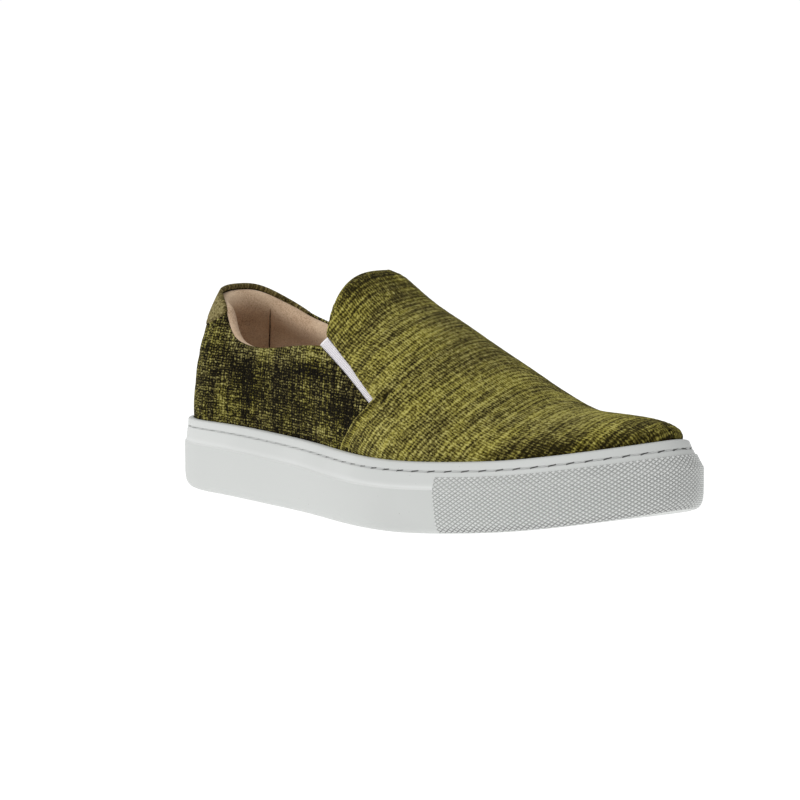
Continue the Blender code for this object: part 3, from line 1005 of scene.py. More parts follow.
LINING_FRONT = 0.60
LINING_STEP = 1.2
LINING_FLAT = 2.2
LINING_OVERLAP = 1.5
PAD_END = 0.40
PAD_ROLL = table(
    "drop depth pad",
    (2.2, 0.5, 0.0),
    (1.4, 0.55, 0.0),
    (0.8, 0.8, 0.0),
    (0.4, 1.4, 0.0),
    (0.1, 2.2, 0.2),
    (0.2, 3.1, 0.7),
    (0.8, 3.8, 1.3),
    (2.1, 4.3, 2.0),
    (3.8, 4.4, 2.5),
    (6.0, 4.0, 2.7),
    (8.5, 3.5, 2.5),
    (11.0, 3.0, 1.9),
    (13.0, 2.7, 1.2),
    (15.0, 2.4, 0.6),
    (17.0, 2.3, 0.2),
    (19.0, 2.2, 0.0),
    (23.0, 2.2, 0.0),
)
# Lift of the roll over the collar; beside is the share, counted below 0 on the medial side
LINING_LIFT = table(
    "beside lift",
    (-0.090, 0.0),
    (-0.050, -0.6),
    (0.000, -1.1),
    (0.025, -1.4),
    (0.055, -1.5),
    (0.085, -0.3),
    (0.110, 1.0),
    (0.140, 1.2),
    (0.175, 0.3),
    (0.210, 0.0),
)
LINING_BEHIND_GORE = 2.5
GORE_START = 0.398
GORE_BLEND = 0.012
LINING_ROWS = 10
LINING_SEAM = 0.026
SEAM_HALF = 1.5
SEAM_COLUMNS = 13
SEAM_CLEAR = 1.6
SEAM_WIDTH = 1.1
SEAM_DEPTH = 0.7
SEAM_START = 4.0
SEAM_BLEND = 2.0
SEAM_LINE = 0.35
SOFTNESS = 0.25
SOFT_SIZE = (14, 11)
LINING_SEED = 41
HOLLOW_SHADOW_STRENGTH = 0.26
LIT_WALL_TONE = -0.10


def lining_columns():
    """Angles, distances from the heel seam, sides and places of the lining's columns."""
    halves = []
    for side in (LATERAL, MEDIAL):
        dense, arcs = quarter_arcs(side, LINING_FRONT)
        seam = np.interp(angle_of(LINING_SEAM), dense, arcs)
        places = np.arange(0, arcs[-1], LINING_STEP)
        close = seam + np.linspace(-SEAM_HALF, SEAM_HALF, SEAM_COLUMNS)
        places = np.sort(np.append(places[np.abs(places - seam) > SEAM_CLEAR], close))
        turned = around(side, np.interp(places, arcs, dense))
        halves.append((turned, places - seam, np.full(len(places), side), places))
    return [np.concatenate([low[::-1], high[1:]]) for low, high in zip(*halves)]


def build_lining():
    """Lining of the quarters: the roll over the collar, its pad and the plain wall below."""
    angles, from_seam, side, places = lining_columns()
    share = share_of(angles)
    edge = collar_height(side, share) - COLLAR_ROLL
    floor = cup_floor(share) + GAP + INSOLE_THICKNESS - LINING_OVERLAP
    fade = smooth_step((LINING_FRONT - share) / (LINING_FRONT - PAD_END))
    beside = np.where(side == LATERAL, share, -share)
    drop, roll_depth, pad = (values[:, None] for values in PAD_ROLL.values())
    roll = edge + np.interp(beside, *LINING_LIFT.values()) - drop
    part = np.arange(1, LINING_ROWS + 1)[:, None] / LINING_ROWS
    height = np.concatenate([roll, roll[-1] + part * (floor - roll[-1])])
    depth = np.full(height.shape, LINING_FLAT)
    depth[:len(drop)] = roll_depth + fade * pad
    depth = np.maximum(depth, LINING_BEHIND_GORE * rise(share, GORE_START, GORE_BLEND))
    girth = last.girth_at_height(angles, height)
    points = last.at(angles, girth)
    points[..., 2] = height
    normals = last.normal(angles, girth)
    level = normals * np.array([1.0, 1.0, 0.0])
    level /= np.linalg.norm(level, axis=-1, keepdims=True)
    normals = np.where((height < rim_height(share))[..., None], level, normals)
    under_edge = rise(edge - height, SEAM_START, SEAM_BLEND)
    groove = np.clip(1 - np.abs(from_seam) / SEAM_WIDTH, 0, 1) * under_edge
    soft = SOFTNESS * drift(places / SOFT_SIZE[0], height / SOFT_SIZE[1], LINING_SEED)
    inner = points - normals * (depth - SEAM_DEPTH * groove + soft)[..., None]
    line = np.clip(1.2 - np.abs(from_seam) / SEAM_LINE, 0, 1) * under_edge
    # painted shadow inside the back of the heel, beside the near roll
    hollow_shadow = bell(beside, 0.014, 0.022) * bell(height, 66, 20) * rise(edge - height, 5, 5)
    # painted light on the inner wall at the medial back
    clear = bell(beside, -0.014, 0.012) * bell(height, 68, 14)
    tone = line + HOLLOW_SHADOW_STRENGTH * hollow_shadow + LIT_WALL_TONE * clear
    return grid_sheet(inner, -normals, places * side, height, tone)


# Footbed

INSOLE_COLUMNS = 40
INSOLE_ROWS = 110
INSOLE_END = 0.02
INSOLE_DISH = 1.6
INSOLE_HEEL = 0.05
INSOLE_WAVE = 0.2
INSOLE_WAVE_SIZE = (22, 14)
INSOLE_FOLD = ((0.1, -0.4), (0.1, -2.0), (0.0, -2.4), (-2.0, -2.4))
INSOLE_SEED = 51


def build_insole():
    """Footbed with a shallow dish and turned-down edges."""
    angle = np.linspace(INSOLE_END, np.pi - INSOLE_END, INSOLE_ROWS + 1)[:, None]
    share = share_of(angle)
    inset = feather_inset(share) + WALL + GAP
    left = ring(angle, inset, 0.0)[..., :2]
    right = ring(TURN - angle, inset, 0.0)[..., :2]
    part = np.linspace(0, 1, INSOLE_COLUMNS + 1)
    flat = left + (right - left) * part[:, None]
    x, y = flat[..., 0], flat[..., 1]
    dish = INSOLE_DISH * np.maximum((2 * part - 1) ** 4, 1 - smooth_step(share / INSOLE_HEEL))
    height = cup_floor(share) + GAP + INSOLE_THICKNESS - INSOLE_DISH + dish
    wave = drift(x / INSOLE_WAVE_SIZE[0], y / INSOLE_WAVE_SIZE[1], INSOLE_SEED)
    points = np.concatenate([flat, (height + INSOLE_WAVE * wave)[..., None]], axis=-1)
    sheet = grid_sheet(points, np.broadcast_to(UPRIGHT, points.shape), x, y)
    sheet.hem(INSOLE_FOLD)
    return sheet


# Outsole

SOLE_HALF_COLUMNS = 400
SOLE_SAMPLES = 4000
SOLE_SHARP = 50
FLOOR_COLUMNS = 8
TREAD_COLUMNS = 64
TREAD_BORDER = 0.09
TREAD_BLEND = 0.03
TREAD_ENDS = (12, 14)
TREAD_END_BLEND = 4
TREAD_PITCH = 6.0
TREAD_DEPTH = 0.9
TREAD_ZIGZAG = 11.0
# Painted light and shade on the sole's white side: darker low side towards the toe, lighter upper
# side and rim at the heel, a highlight along the step
LOW_PAINTED_SHADE = 0.5
RIM_PAINTED_LIGHT = -0.95
STEP_HIGHLIGHT = -1.35
STEP_BELOW = 9.0
NO_STITCH = 60.0


def half_angles(columns):
    """Angles from the heel to the tip at even steps along the outline, and their distances."""
    dense = np.linspace(0, np.pi, SOLE_SAMPLES + 1)
    arcs = arc_lengths(outline(dense))
    even = np.linspace(0, arcs[-1], columns + 1)
    return np.interp(even, arcs, dense), even


def wall_levels(share):
    """Height and inset of each level of the side, from the tread to the rim."""
    levels = []
    for up, inset in zip(*WALL_FOOT.values()):
        levels.append((tread_height(share) + up, inset + 0 * share))
    for drop, part, inset in zip(*WALL_TOP.values()):
        levels.append((rim_height(share) - drop, part * rim_inset(share) + inset))
    return levels


def tread_grooves(flat, part):
    """Zigzag grooves across the tread, inside a plain border."""
    x, y = flat[..., 0], flat[..., 1]
    zigzag = np.abs(np.mod(y / TREAD_ZIGZAG, 1) - 0.5) * TREAD_ZIGZAG
    phase = np.mod((x + zigzag) / TREAD_PITCH, 1) - 0.5
    inside = rise(0.5 - np.abs(part - 0.5), TREAD_BORDER, TREAD_BLEND)
    heel, toe = TREAD_ENDS
    ends = rise(x, heel, TREAD_END_BLEND) * rise(LENGTH - x, toe, TREAD_END_BLEND)
    return TREAD_DEPTH * smooth_step(1.6 - np.abs(phase) * 7) * inside * ends


def across(stack, level, start, columns):
    """Grid from each lateral point of one ring to its medial partner: points and numbers."""
    count = stack.shape[1]
    half = count // 2
    outer = np.arange(half + 1)
    partner = (count - outer) % count
    lateral, medial = stack[level][outer], stack[level][partner]
    part = np.linspace(0, 1, columns + 1)
    flat = lateral[:, None] + (medial - lateral)[:, None] * part[:, None]
    first = (level % len(stack)) * count
    numbers = start + np.arange((half + 1) * (columns + 1)).reshape(half + 1, columns + 1)
    numbers[:, 0] = first + outer
    numbers[:, -1] = first + partner
    numbers[0] = first
    numbers[-1] = first + half
    return flat, part, numbers


def wall_light_and_shade(share):
    """Painted light and shade on the side's levels: lighter rim and a highlight on the step at the
    heel, darker side at the ball.
    """
    low = LOW_PAINTED_SHADE * rise(share, 0.40, 0.25)
    high = RIM_PAINTED_LIGHT * (1 - rise(share, 0.52, 0.14))
    rows = [low] * (len(WALL_FOOT["rise"]) + 1)
    for drop in WALL_TOP["drop"][1:]:
        rows.append(STEP_HIGHLIGHT + 0 * share if drop > STEP_BELOW else high)
    return np.array(rows + [high, high])


def build_sole():
    """Cupsole with its tread, stepped side, stitch groove, rim and the cup inside."""
    lateral, arcs = half_angles(SOLE_HALF_COLUMNS)
    angles = np.concatenate([lateral, TURN - lateral[-2:0:-1]])
    arcs = np.concatenate([arcs, arcs[-2:0:-1]])
    share = share_of(angles)
    inside = rim_inset(share) + LIP
    levels = [*wall_levels(share), (rim_height(share), inside), (cup_floor(share), inside)]
    stack = np.array([ring(angles, inset, height) for height, inset in levels])
    numbers = np.arange(stack[..., 0].size).reshape(stack.shape[:2])
    closed = np.concatenate([numbers, numbers[:, :1]], axis=1)
    drop = rim_height(share) - stack[..., 2]
    cloth = np.stack([np.broadcast_to(arcs, drop.shape).ravel(), drop.ravel()], axis=1)
    tread, part, tread_numbers = across(stack, 0, numbers.size, TREAD_COLUMNS)
    tread[..., 2] += tread_grooves(tread, part)
    floor_start = numbers.size + tread_numbers.size
    floor, _, floor_numbers = across(stack, -1, floor_start, FLOOR_COLUMNS)
    points = np.concatenate([grid.reshape(-1, 3) for grid in (stack, tread, floor)])
    plain = np.full((len(points) - numbers.size, 2), NO_STITCH)
    faces = [grid_faces(closed), grid_faces(tread_numbers)[:, ::-1], grid_faces(floor_numbers)]
    tone = np.concatenate([wall_light_and_shade(share).ravel(), np.zeros(len(plain))])
    return Sheet(points, np.zeros_like(points), np.concatenate(faces),
                 np.concatenate([cloth, plain]), tone)


# Toe panel

PANEL_FOOT = 0.6
PANEL_LEAN = 2.4
PANEL_TOP = 5.4
PANEL_HEIGHT = 20.6
PANEL_DROPS = (10.3, 7.4, 5.6, 4.3)
# Painted shade along the panel's foot and in the valleys between the pyramids, and a painted
# highlight on their tips
PANEL_SHADE = 0.8
PANEL_SHADE_PART = 0.14
DIAMOND_LENGTH = 2.5
DIAMOND_HEIGHT = 1.5
DIAMOND_STEPS = 4
DIAMOND_BASE = 0.15
DIAMOND_RELIEF = 0.65
DIAMOND_VALLEY_SHADE = 1.9
DIAMOND_TIP_HIGHLIGHT = 2.4
PANEL_FOLD = ((0.05, -0.25), (0.10, -0.70), (0.0, -1.30))


def panel_inset(share, height):
    """Inset of the plain side at each height, without its step and groove."""
    levels = wall_levels(share)
    foot = len(WALL_FOOT["rise"])
    top = [level for level, drop in zip(levels[foot:], WALL_TOP["drop"]) if drop in PANEL_DROPS]
    heights, insets = (np.array(values) for values in zip(*levels[:foot], *top))
    inset = np.empty_like(height)
    for spot in np.ndindex(height.shape):
        inset[spot] = np.interp(height[spot], heights[:, *spot], insets[:, *spot])
    return inset


def build_panel():
    """Raised toe panel of small pyramids, with a crease along each of their edges."""
    dense, arcs = half_angles(SOLE_SAMPLES)
    reach = arcs[-1] - np.interp(angle_of(PANEL_START), dense, arcs)
    columns = 2 * int(round(DIAMOND_STEPS * reach / DIAMOND_LENGTH))
    rows = int(round(DIAMOND_STEPS * PANEL_HEIGHT / DIAMOND_HEIGHT))
    part = np.linspace(0, 1, rows + 1)[:, None]
    place = np.linspace(-1, 1, columns + 1) * (reach - PANEL_LEAN * (1 - part))
    near = np.interp(arcs[-1] - np.abs(place), arcs, dense)
    wide = np.where(place <= 0, near, TURN - near)
    share = share_of(wide)
    low = tread_height(share) + PANEL_FOOT
    high = rim_height(share) - PANEL_TOP
    height = low + part * (high - low)
    aside = np.arange(columns + 1)
    up = np.arange(rows + 1)[:, None]
    half = DIAMOND_STEPS // 2
    slopes = [half - np.abs(np.mod(line, DIAMOND_STEPS) - half) for line in (aside + up, aside - up)]
    peak = np.minimum(*slopes) / half
    raised = DIAMOND_BASE + DIAMOND_RELIEF * peak
    points = ring(wide, panel_inset(share, height) - raised, height)
    outward = np.concatenate([-inward(wide), np.zeros(wide.shape + (1,))], axis=-1)
    foot_shade = PANEL_SHADE * (1 - smooth_step(part / PANEL_SHADE_PART))
    # painted shade in the valleys and along the foot, painted highlight on the tips
    tone = DIAMOND_VALLEY_SHADE * (1 - peak) ** 4 - DIAMOND_TIP_HIGHLIGHT * peak + foot_shade
    sheet = grid_sheet(points, outward, NO_STITCH, NO_STITCH, tone)
    quads = sheet.faces
    turned = np.mod(quads[:, :1] // (columns + 1) + quads[:, :1] % (columns + 1), 2) == 1
    first = np.where(turned, quads[:, [0, 1, 3, 3]], quads[:, [0, 1, 2, 2]])
    second = np.where(turned, quads[:, [1, 2, 3, 3]], quads[:, [0, 2, 3, 3]])
    sheet.faces = np.concatenate([first, second])
    facets = len(sheet.faces)
    sheet.hem(PANEL_FOLD)
    return sheet, np.arange(len(sheet.faces)) < facets


# Stitches of the sole

STITCH_PITCH = 7.3
STITCH_GAP = 0.75
STITCH_RADIUS = 0.26
STITCH_THINNEST = 0.04
STITCH_DROP = 3.35
STITCH_SLOPE = 0.65
STITCH_DEPTH = 0.60
STITCH_DIVE = 0.5
STITCH_SLANT = 0.10
STITCH_RINGS = 9
STITCH_SIDES = 8


def stitch_faces(numbers):
    """Quads around one length of thread, and across both of its ends."""
    quads = [grid_faces(np.concatenate([numbers, numbers[:, :1]], axis=1))]
    for row in (numbers[0], numbers[-1][::-1]):
        for corner in range(1, STITCH_SIDES // 2):
            quads.append([[row[corner - 1], row[corner], row[-1 - corner], row[-corner]]])
    return np.concatenate(quads)


def build_stitches():
    """Thread in the groove of the sole: short rounded lengths that dive in at both ends."""
    dense, arcs = half_angles(SOLE_SAMPLES)
    part = np.linspace(-1, 1, STITCH_RINGS)[:, None]
    turn = np.linspace(0, TURN, STITCH_SIDES, endpoint=False)
    thin = STITCH_RADIUS * np.sqrt(np.clip(1 - part ** 8, STITCH_THINNEST, 1))
    numbers = np.arange(STITCH_RINGS * STITCH_SIDES).reshape(STITCH_RINGS, STITCH_SIDES)
    points, faces, cloth = [], [], []
    for side in (LATERAL, MEDIAL):
        for number in range(int(arcs[-1] / STITCH_PITCH)):
            place = (number + 0.5) * STITCH_PITCH + part * (STITCH_PITCH / 2 - STITCH_GAP)
            angle = around(side, np.interp(place, arcs, dense))
            share = share_of(angle)
            inset = STITCH_SLOPE * rim_inset(share) + STITCH_DEPTH + STITCH_DIVE * part ** 6
            drop = STITCH_DROP + STITCH_SLANT * part * side - thin * np.sin(turn)
            tube = ring(angle, inset - thin * np.cos(turn), rim_height(share) - drop)
            quads = stitch_faces(len(points) * numbers.size + numbers)
            faces.append(quads if side == LATERAL else quads[:, ::-1])
            points.append(tube.reshape(-1, 3))
            cloth.append(np.stack([place + 0 * drop, drop], axis=-1).reshape(-1, 2))
    points = np.concatenate(points)
    return Sheet(points, np.zeros_like(points), np.concatenate(faces), np.concatenate(cloth),
                 np.zeros(len(points)))


# Materials

class Nodes:
    """Short names for building a material's nodes."""

    def __init__(self, name):
        self.material = bpy.data.materials.new(name)
        self.material.use_nodes = True
        self.tree = self.material.node_tree
        self.shader = self.tree.nodes["Principled BSDF"]

    def put(self, value, socket):
        if isinstance(value, bpy.types.NodeSocket):
            self.tree.links.new(value, socket)
        else:
            socket.default_value = value

    def node(self, kind, output=0, settings=None, **inputs):
        made = self.tree.nodes.new(kind)
        for name, value in (settings or {}).items():
            setattr(made, name, value)
        for name, value in inputs.items():
            self.put(value, made.inputs[name.replace("_", " ")])
        return made.outputs[output]

    def row(self, kind, *values, settings=None):
        """Node whose inputs are given in their order."""
        output = self.node(kind, settings=settings)
        for socket, value in zip(output.node.inputs, values):
            self.put(value, socket)
        return output

    def math(self, operation, *values):
        return self.row("ShaderNodeMath", *values, settings={"operation": operation})

    def times(self, first, second):
        return self.math("MULTIPLY", first, second)

    def add(self, *values):
        total = values[0]
        for value in values[1:]:
            total = self.math("ADD", total, value)
        return total

    def scale(self, value, factor, offset=0.0):
        return self.math("MULTIPLY_ADD", value, factor, offset)

    def swing(self, value, strength):
        """A value from 0 to 1, moved to swing about 0 with the given strength."""
        return self.scale(value, strength, -strength / 2)

    def vector(self, x, y, z=0.0):
        return self.row("ShaderNodeCombineXYZ", x, y, z)

    def parts(self, vector):
        return self.row("ShaderNodeSeparateXYZ", vector).node.outputs

    def cloth(self):
        """Both cloth coordinates of the sheet."""
        return self.parts(self.node("ShaderNodeUVMap", settings={"uv_map": "cloth"}))[:2]

    def place(self):
        """Place on the object, in metres."""
        return self.node("ShaderNodeTexCoord", 3)

    def tone(self):
        return self.node("ShaderNodeAttribute", 2, settings={"attribute_name": "tone"})

    def noise(self, vector, scale=1.0, detail=2.0, roughness=0.5, distortion=0.0):
        return self.node("ShaderNodeTexNoise", Vector=vector, Scale=scale, Detail=detail,
                         Roughness=roughness, Distortion=distortion)

    def cloth_noise(self, first, second, pace, layer=0.0, **settings):
        """Noise over two cloth coordinates, at its own pace along each."""
        places = [self.scale(value, factor) for value, factor in zip((first, second), pace)]
        return self.noise(self.vector(*places, layer), **settings)

    def ramp(self, value, stops):
        output = self.row("ShaderNodeValToRGB", value)
        points = output.node.color_ramp.elements
        while len(points) < len(stops):
            points.new(0.5)
        for point, (place, colour) in zip(points, stops):
            point.position = place
            point.color = (*colour, 1.0)
        return output

    def mix(self, share, first, second):
        made = self.tree.nodes.new("ShaderNodeMix")
        made.data_type = "RGBA"
        for number, value in ((0, share), (6, first), (7, second)):
            self.put(value, made.inputs[number])
        return made.outputs[2]

    def bump(self, height, distance):
        normal = self.node("ShaderNodeBump", Strength=1.0, Distance=distance, Height=height)
        self.put(normal, self.shader.inputs["Normal"])

    def finish(self, colour, roughness, **constants):
        inputs = {"Base_Color": colour, "Roughness": roughness, **constants}
        for name, value in inputs.items():
            self.put(value, self.shader.inputs[name.replace("_", " ")])
        return self.material


OLIVE = (
    (0.00, (0.014, 0.011, 0.002)),
    (0.25, (0.046, 0.037, 0.006)),
    (0.50, (0.137, 0.116, 0.031)),
    (0.75, (0.290, 0.258, 0.068)),
    (1.00, (0.460, 0.420, 0.160)),
)
YELLOW = (
    (0.00, (0.016, 0.012, 0.001)),
    (0.25, (0.056, 0.045, 0.003)),
    (0.50, (0.155, 0.133, 0.026)),
    (0.75, (0.325, 0.288, 0.052)),
    (1.00, (0.500, 0.455, 0.135)),
)
UMBER = (
    (0.00, (0.003, 0.002, 0.001)),
    (0.25, (0.016, 0.012, 0.004)),
    (0.50, (0.078, 0.065, 0.022)),
    (0.75, (0.195, 0.172, 0.058)),
    (1.00, (0.350, 0.322, 0.135)),
)
MOSS = (
    (0.00, (0.003, 0.002, 0.001)),
    (0.25, (0.020, 0.016, 0.002)),
    (0.50, (0.092, 0.078, 0.013)),
    (0.75, (0.225, 0.202, 0.044)),
    (1.00, (0.400, 0.366, 0.125)),
)
RUBBER_WHITE = (
    (0.00, (0.130, 0.130, 0.130)),
    (0.12, (0.380, 0.380, 0.370)),
    (0.40, (0.565, 0.580, 0.565)),
    (0.70, (0.610, 0.625, 0.610)),
    (1.00, (0.790, 0.800, 0.790)),
)
THREAD_GREY = (
    (0.00, (0.09, 0.09, 0.09)),
    (0.35, (0.52, 0.53, 0.52)),
    (0.80, (0.64, 0.65, 0.64)),
)
SUEDE_BEIGE = (
    (0.00, (0.020, 0.012, 0.008)),
    (0.30, (0.430, 0.280, 0.178)),
    (0.50, (0.610, 0.440, 0.295)),
    (0.80, (0.750, 0.575, 0.405)),
)
HEEL_OLIVE = (
    (0.10, (0.080, 0.060, 0.018)),
    (0.50, (0.265, 0.215, 0.082)),
    (0.90, (0.460, 0.400, 0.190)),
)
ELASTIC_WHITE = (
    (0.00, (0.400, 0.380, 0.410)),
    (0.35, (0.720, 0.695, 0.720)),
    (0.65, (0.890, 0.865, 0.880)),
)
VAMP_CLOTH = {
    "level": 0.56, "contrast": 1.20, "ribs": 0.11, "threads": 0.14, "knots": 0.26,
    "streaks": 1.00, "wefts": 0.10, "patches": 0.35, "specular": 0.08, "sheen": 0.05,
}
QUARTER_CLOTH = {
    "level": 0.265, "contrast": 1.70, "ribs": 0.07, "threads": 0.11, "knots": 0.24,
    "streaks": 0.75, "wefts": 0.85, "patches": 0.85, "specular": 0.05, "sheen": 0.02,
}
THREAD_PITCH = 1.13
PULL_ALONG = 1.9
PULL_ACROSS = 0.42
FIBRES = 1.1


def crease_shade(n):
    """1 in the middle of the short crease in front of the lateral slot's lower end, where the cloth
    gets painted shade.
    """
    x, y, z = n.parts(n.place())
    up = n.scale(z, 1 / MM, ORIGIN[2] - CREASE_PLACE[1])
    forward = n.scale(x, 1 / MM, ORIGIN[0] - CREASE_PLACE[0])
    aside = n.scale(n.add(forward, n.scale(up, -CREASE_LEAN)), 1 / CREASE_HALF[0])
    along = n.scale(up, 1 / CREASE_HALF[1])
    far = n.add(n.times(aside, aside), n.times(along, along))
    inside = n.math("MAXIMUM", n.scale(far, -1.0, 1.0), 0.0)
    return n.times(inside, n.math("LESS_THAN", y, -ORIGIN[1] * MM))


def chenille(name, dull, bright, level, contrast, ribs, threads, knots, streaks, wefts, patches,
             specular, sheen):
    """Slub weave: rows of knots of uneven tone, with dark holes between them.

    The cloth coordinates are millimetres along the yarn and yarns across. The numbers are the
    middle tone, the weave's contrast and the strength of each layer of it.
    """
    n = Nodes(name)
    along, yarn = n.cloth()
    pull_along = n.cloth_noise(along, yarn, (0.5, 1.0), scale=0.6, detail=3.0)
    pull_across = n.cloth_noise(yarn, along, (1.0, 0.5), 4.1, scale=0.7, detail=3.0)
    place = n.scale(n.add(along, n.scale(pull_along, PULL_ALONG)), 1 / THREAD_PITCH)
    row = n.add(yarn, n.scale(pull_across, PULL_ACROSS))
    rib_wave, thread_wave = (n.math("COSINE", n.scale(part, TURN, np.pi)) for part in (row, place))
    cell = n.vector(n.math("FLOOR", row), n.math("FLOOR", place))
    knot = n.node("ShaderNodeTexWhiteNoise", settings={"noise_dimensions": "2D"}, Vector=cell)
    streak = n.cloth_noise(along, yarn, (1 / 30, 1.0), 3.7)
    weft = n.cloth_noise(along, yarn, (0.8, 1 / 14), 9.2)
    patch = n.cloth_noise(along, yarn, (1 / 22, 1 / 11), 1.3)
    fibre = n.cloth_noise(along, yarn, (1.5, 2.8), 5.5, detail=1.0, distortion=0.3)
    lattice = n.add(
        n.scale(rib_wave, ribs),
        n.scale(thread_wave, threads),
        n.swing(knot, knots),
        n.swing(fibre, FIBRES),
    )
    value = n.add(
        n.scale(lattice, contrast, level),
        n.swing(streak, streaks),
        n.swing(weft, wefts),
        n.swing(patch, patches),
        # painted shade in the crease in front of the lateral slot
        n.scale(crease_shade(n), -CREASE_SHADOW),
        # the tone holds lighter and darker cloth, and some painted light and shade
        n.tone(),
    )
    brighter = n.scale(n.add(streak, patch), 3.0, -2.6)
    n.bump(lattice, 0.0006)
    return n.finish(n.mix(brighter, n.ramp(value, dull), n.ramp(value, bright)), 0.95,
                    Specular_IOR_Level=specular, Sheen_Weight=sheen, Sheen_Roughness=0.5,
                    Sheen_Tint=(0.75, 0.70, 0.40, 1.0))


SLIT_LENGTH = 1.6
SLIT_WIDTH = 0.23
SLIT_LEAN = 0.16
STITCHED_FROM = 165.0
STITCHED_BLEND = 60
SLIT_FAINTEST = 0.3


def stitch_hole_shadows(n):
    """1 on the slanted slits where the thread dives in, painted dark as the shadow in the holes,
    fainter towards the heel.
    """
    arc, drop = n.cloth()
    turn = n.math("FRACT", n.scale(arc, 1 / STITCH_PITCH, 0.5))
    aside = n.scale(n.math("SUBTRACT", turn, 0.5), STITCH_PITCH)
    level = n.add(n.math("SUBTRACT", drop, STITCH_DROP), n.scale(aside, SLIT_LEAN))
    inside = [
        n.math("LESS_THAN", n.math("ABSOLUTE", distance), half)
        for distance, half in ((aside, SLIT_LENGTH), (level, SLIT_WIDTH))
    ]
    forward = n.scale(arc, 1 / STITCHED_BLEND, 1 - STITCHED_FROM / STITCHED_BLEND)
    strength = n.node("ShaderNodeClamp", Value=forward, Min=SLIT_FAINTEST, Max=1.0)
    return n.times(n.times(*inside), strength)


def rubber():
    """White rubber with faint clouds and specks."""
    n = Nodes("rubber")
    place = n.place()
    cloud = n.noise(place, 22.0, detail=3.0)
    speck = n.math("GREATER_THAN", n.noise(place, 900.0, detail=1.0), 0.80)
    value = n.add(
        n.scale(cloud, 0.16, 0.42),
        n.scale(speck, -0.30),
        # the tone paints light and shade on the sole's side and on the toe panel
        n.scale(n.tone(), -0.25),
        n.scale(stitch_hole_shadows(n), -0.55),
    )
    n.bump(n.noise(place, 700.0), 0.00004)
    return n.finish(n.ramp(value, RUBBER_WHITE), n.scale(cloud, 0.16, 0.40), Specular_IOR_Level=0.35)


def thread():
    """Waxed thread of the sole's stitches."""
    n = Nodes("thread")
    twist = n.noise(n.place(), 1400.0)
    value = n.add(n.scale(twist, 0.5, 0.3), n.scale(stitch_hole_shadows(n), -0.75))
    n.bump(twist, 0.0002)
    return n.finish(n.ramp(value, THREAD_GREY), 0.6, Specular_IOR_Level=0.3)


def suede():
    """Soft beige lining with a short nap."""
    n = Nodes("lining_suede")
    place = n.place()
    nap = n.noise(place, 1500.0, roughness=0.7)
    cloud = n.noise(place, 60.0, detail=3.0)
    # the tone darkens the seam line, and paints shadow and light inside the heel
    value = n.add(n.swing(nap, 1.1), n.scale(cloud, 0.8, 0.15), n.scale(n.tone(), -0.9))
    n.bump(nap, 0.00025)
    return n.finish(n.ramp(value, SUEDE_BEIGE), 0.95, Specular_IOR_Level=0.15, Sheen_Weight=0.25,
                    Sheen_Roughness=0.6, Sheen_Tint=(0.9, 0.75, 0.6, 1.0))


def heel_cloth():
    """Finer, tufted cloth of the heel strip."""
    n = Nodes("heel_cloth")
    along, height = n.cloth()
    weave = n.times(*(n.math("SINE", n.scale(part, 7.0)) for part in (along, height)))
    tuft = n.cloth_noise(along, height, (0.9, 0.9), roughness=0.6)
    # the tone paints shade along the strip's edges
    value = n.add(n.scale(tuft, 2.4, -0.70), n.scale(weave, 0.22), n.tone())
    n.bump(n.add(n.scale(weave, 0.5), tuft), 0.0004)
    return n.finish(n.ramp(value, HEEL_OLIVE), 0.92, Specular_IOR_Level=0.10, Sheen_Weight=0.06,
                    Sheen_Roughness=0.5, Sheen_Tint=(0.75, 0.70, 0.45, 1.0))


def elastic():
    """White elastic with painted shade in the furrows between its ribs."""
    n = Nodes("elastic")
    along, over = n.cloth()
    yarn = n.cloth_noise(along, over, (2.5, 1.2))
    value = n.add(n.scale(yarn, 0.5, 0.42), n.scale(n.tone(), -0.95))
    n.bump(yarn, 0.0001)
    return n.finish(n.ramp(value, ELASTIC_WHITE), 0.85, Specular_IOR_Level=0.2)


# Build

vamp_sheet, vamp_lining = build_vamp()
panel_sheet, panel_facets = build_panel()
suede_finish = suede()
elastic_finish = elastic()
rubber_finish = rubber()
vamp_finish = chenille("vamp_chenille", OLIVE, YELLOW, **VAMP_CLOTH)
quarter_finish = chenille("quarter_chenille", UMBER, MOSS, **QUARTER_CLOTH)
add_piece("vamp_cloth", vamp_sheet, vamp_finish, "chenille", "upper")
add_piece("vamp_lining", vamp_lining, suede_finish, "footbed")
add_piece("quarter_cloth", build_quarter(), quarter_finish, "chenille", "upper")
add_piece("heel_strip", build_tab(), heel_cloth(), "heel_cloth", "heel_tab")
add_piece("elastic_lateral", build_gore(LATERAL), elastic_finish, "elastic", "gore_lateral")
add_piece("elastic_medial", build_gore(MEDIAL), elastic_finish, "elastic", "gore_medial")
add_piece("quarter_lining", build_lining(), suede_finish, "footbed")
add_piece("footbed", build_insole(), suede_finish, "footbed", "insole")
add_piece("cupsole", build_sole(), rubber_finish, "rubber", "outsole", sharp=SOLE_SHARP)
add_piece("toe_panel", panel_sheet, rubber_finish, "rubber", "outsole", flat=panel_facets)
add_piece("sole_stitches", build_stitches(), thread(), "rubber")


# Stage

STAGE_MIDDLE = Vector((np.array([137.5, 0.0, 40.0]) - ORIGIN) * MM)
CAMERA_LENS = 126.8
CAMERA_SENSOR = 36.0
CAMERA_SHIFT = (-0.0278, 0.0162)
CAMERA_STAND = {"angle": 48.66, "climb": 5.66, "distance": 1.150}
LIGHT_STAND = {"angle": -10.0, "climb": 50.0, "distance": 1.6}
LIGHT_SIZE = 1.2
LIGHT_POWER = 12.0
FLOOR_HALF = 6.0
FLOOR_DROP = 0.0002
FLOOR_GREY = 0.25
FLOOR_GLOW = 0.96
SKY = ((0.05, 1.02), (0.20, 0.45))


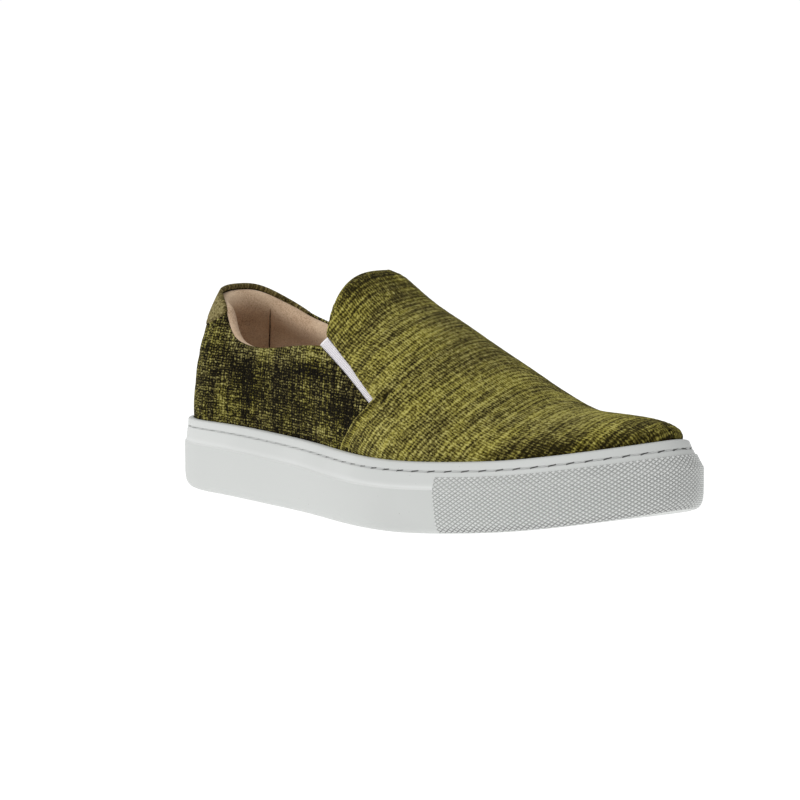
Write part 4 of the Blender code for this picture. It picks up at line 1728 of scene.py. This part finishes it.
def stand(name, data, angle, climb, distance):
    """Puts a camera or a light at a place around the shoe, aimed at its middle."""
    turn, tilt = np.radians(angle), np.radians(climb)
    level = np.cos(tilt)
    back = Vector((np.sin(turn) * level, -np.cos(turn) * level, np.sin(tilt)))
    thing = bpy.data.objects.new(name, data)
    thing.location = STAGE_MIDDLE + back * distance
    thing.rotation_mode = "QUATERNION"
    thing.rotation_quaternion = (-back).to_track_quat("-Z", "Y")
    bpy.context.scene.collection.objects.link(thing)
    return thing


def add_camera():
    data = bpy.data.cameras.new("camera")
    data.lens = CAMERA_LENS
    data.sensor_width = CAMERA_SENSOR
    data.shift_x, data.shift_y = CAMERA_SHIFT
    bpy.context.scene.camera = stand("camera", data, **CAMERA_STAND)


def add_light():
    data = bpy.data.lights.new("key", "AREA")
    data.shape = "DISK"
    data.size = LIGHT_SIZE
    data.energy = LIGHT_POWER
    stand("key", data, **LIGHT_STAND)


def add_floor():
    """Bright floor that reads as white paper."""
    mesh = bpy.data.meshes.new("floor")
    corners = [(-1, -1), (1, -1), (1, 1), (-1, 1)]
    mesh.from_pydata([(FLOOR_HALF * x, FLOOR_HALF * y, 0) for x, y in corners], [], [(0, 1, 2, 3)])
    paper = Nodes("floor").finish(
        (FLOOR_GREY, FLOOR_GREY, FLOOR_GREY, 1.0), 0.9, Specular_IOR_Level=0.0,
        Emission_Color=(1.0, 1.0, 1.0, 1.0), Emission_Strength=FLOOR_GLOW)
    mesh.materials.append(paper)
    floor = bpy.data.objects.new("floor", mesh)
    floor.location.z = -FLOOR_DROP
    bpy.context.scene.collection.objects.link(floor)


def add_world():
    """White near the horizon, and a softer grey higher up."""
    world = bpy.data.worlds.new("studio")
    world.use_nodes = True
    tree = world.node_tree
    place = tree.nodes.new("ShaderNodeTexCoord")
    parts = tree.nodes.new("ShaderNodeSeparateXYZ")
    ramp = tree.nodes.new("ShaderNodeValToRGB")
    back = tree.nodes["Background"]
    tree.links.new(place.outputs["Generated"], parts.inputs[0])
    tree.links.new(parts.outputs["Z"], ramp.inputs[0])
    tree.links.new(ramp.outputs[0], back.inputs["Color"])
    for stop, (height, level) in zip(ramp.color_ramp.elements, SKY):
        stop.position = height
        stop.color = (level, level, level, 1.0)
    back.inputs["Strength"].default_value = 1.0
    bpy.context.scene.world = world
    bpy.context.scene.view_settings.view_transform = "Standard"


add_camera()
add_floor()
add_world()
add_light()
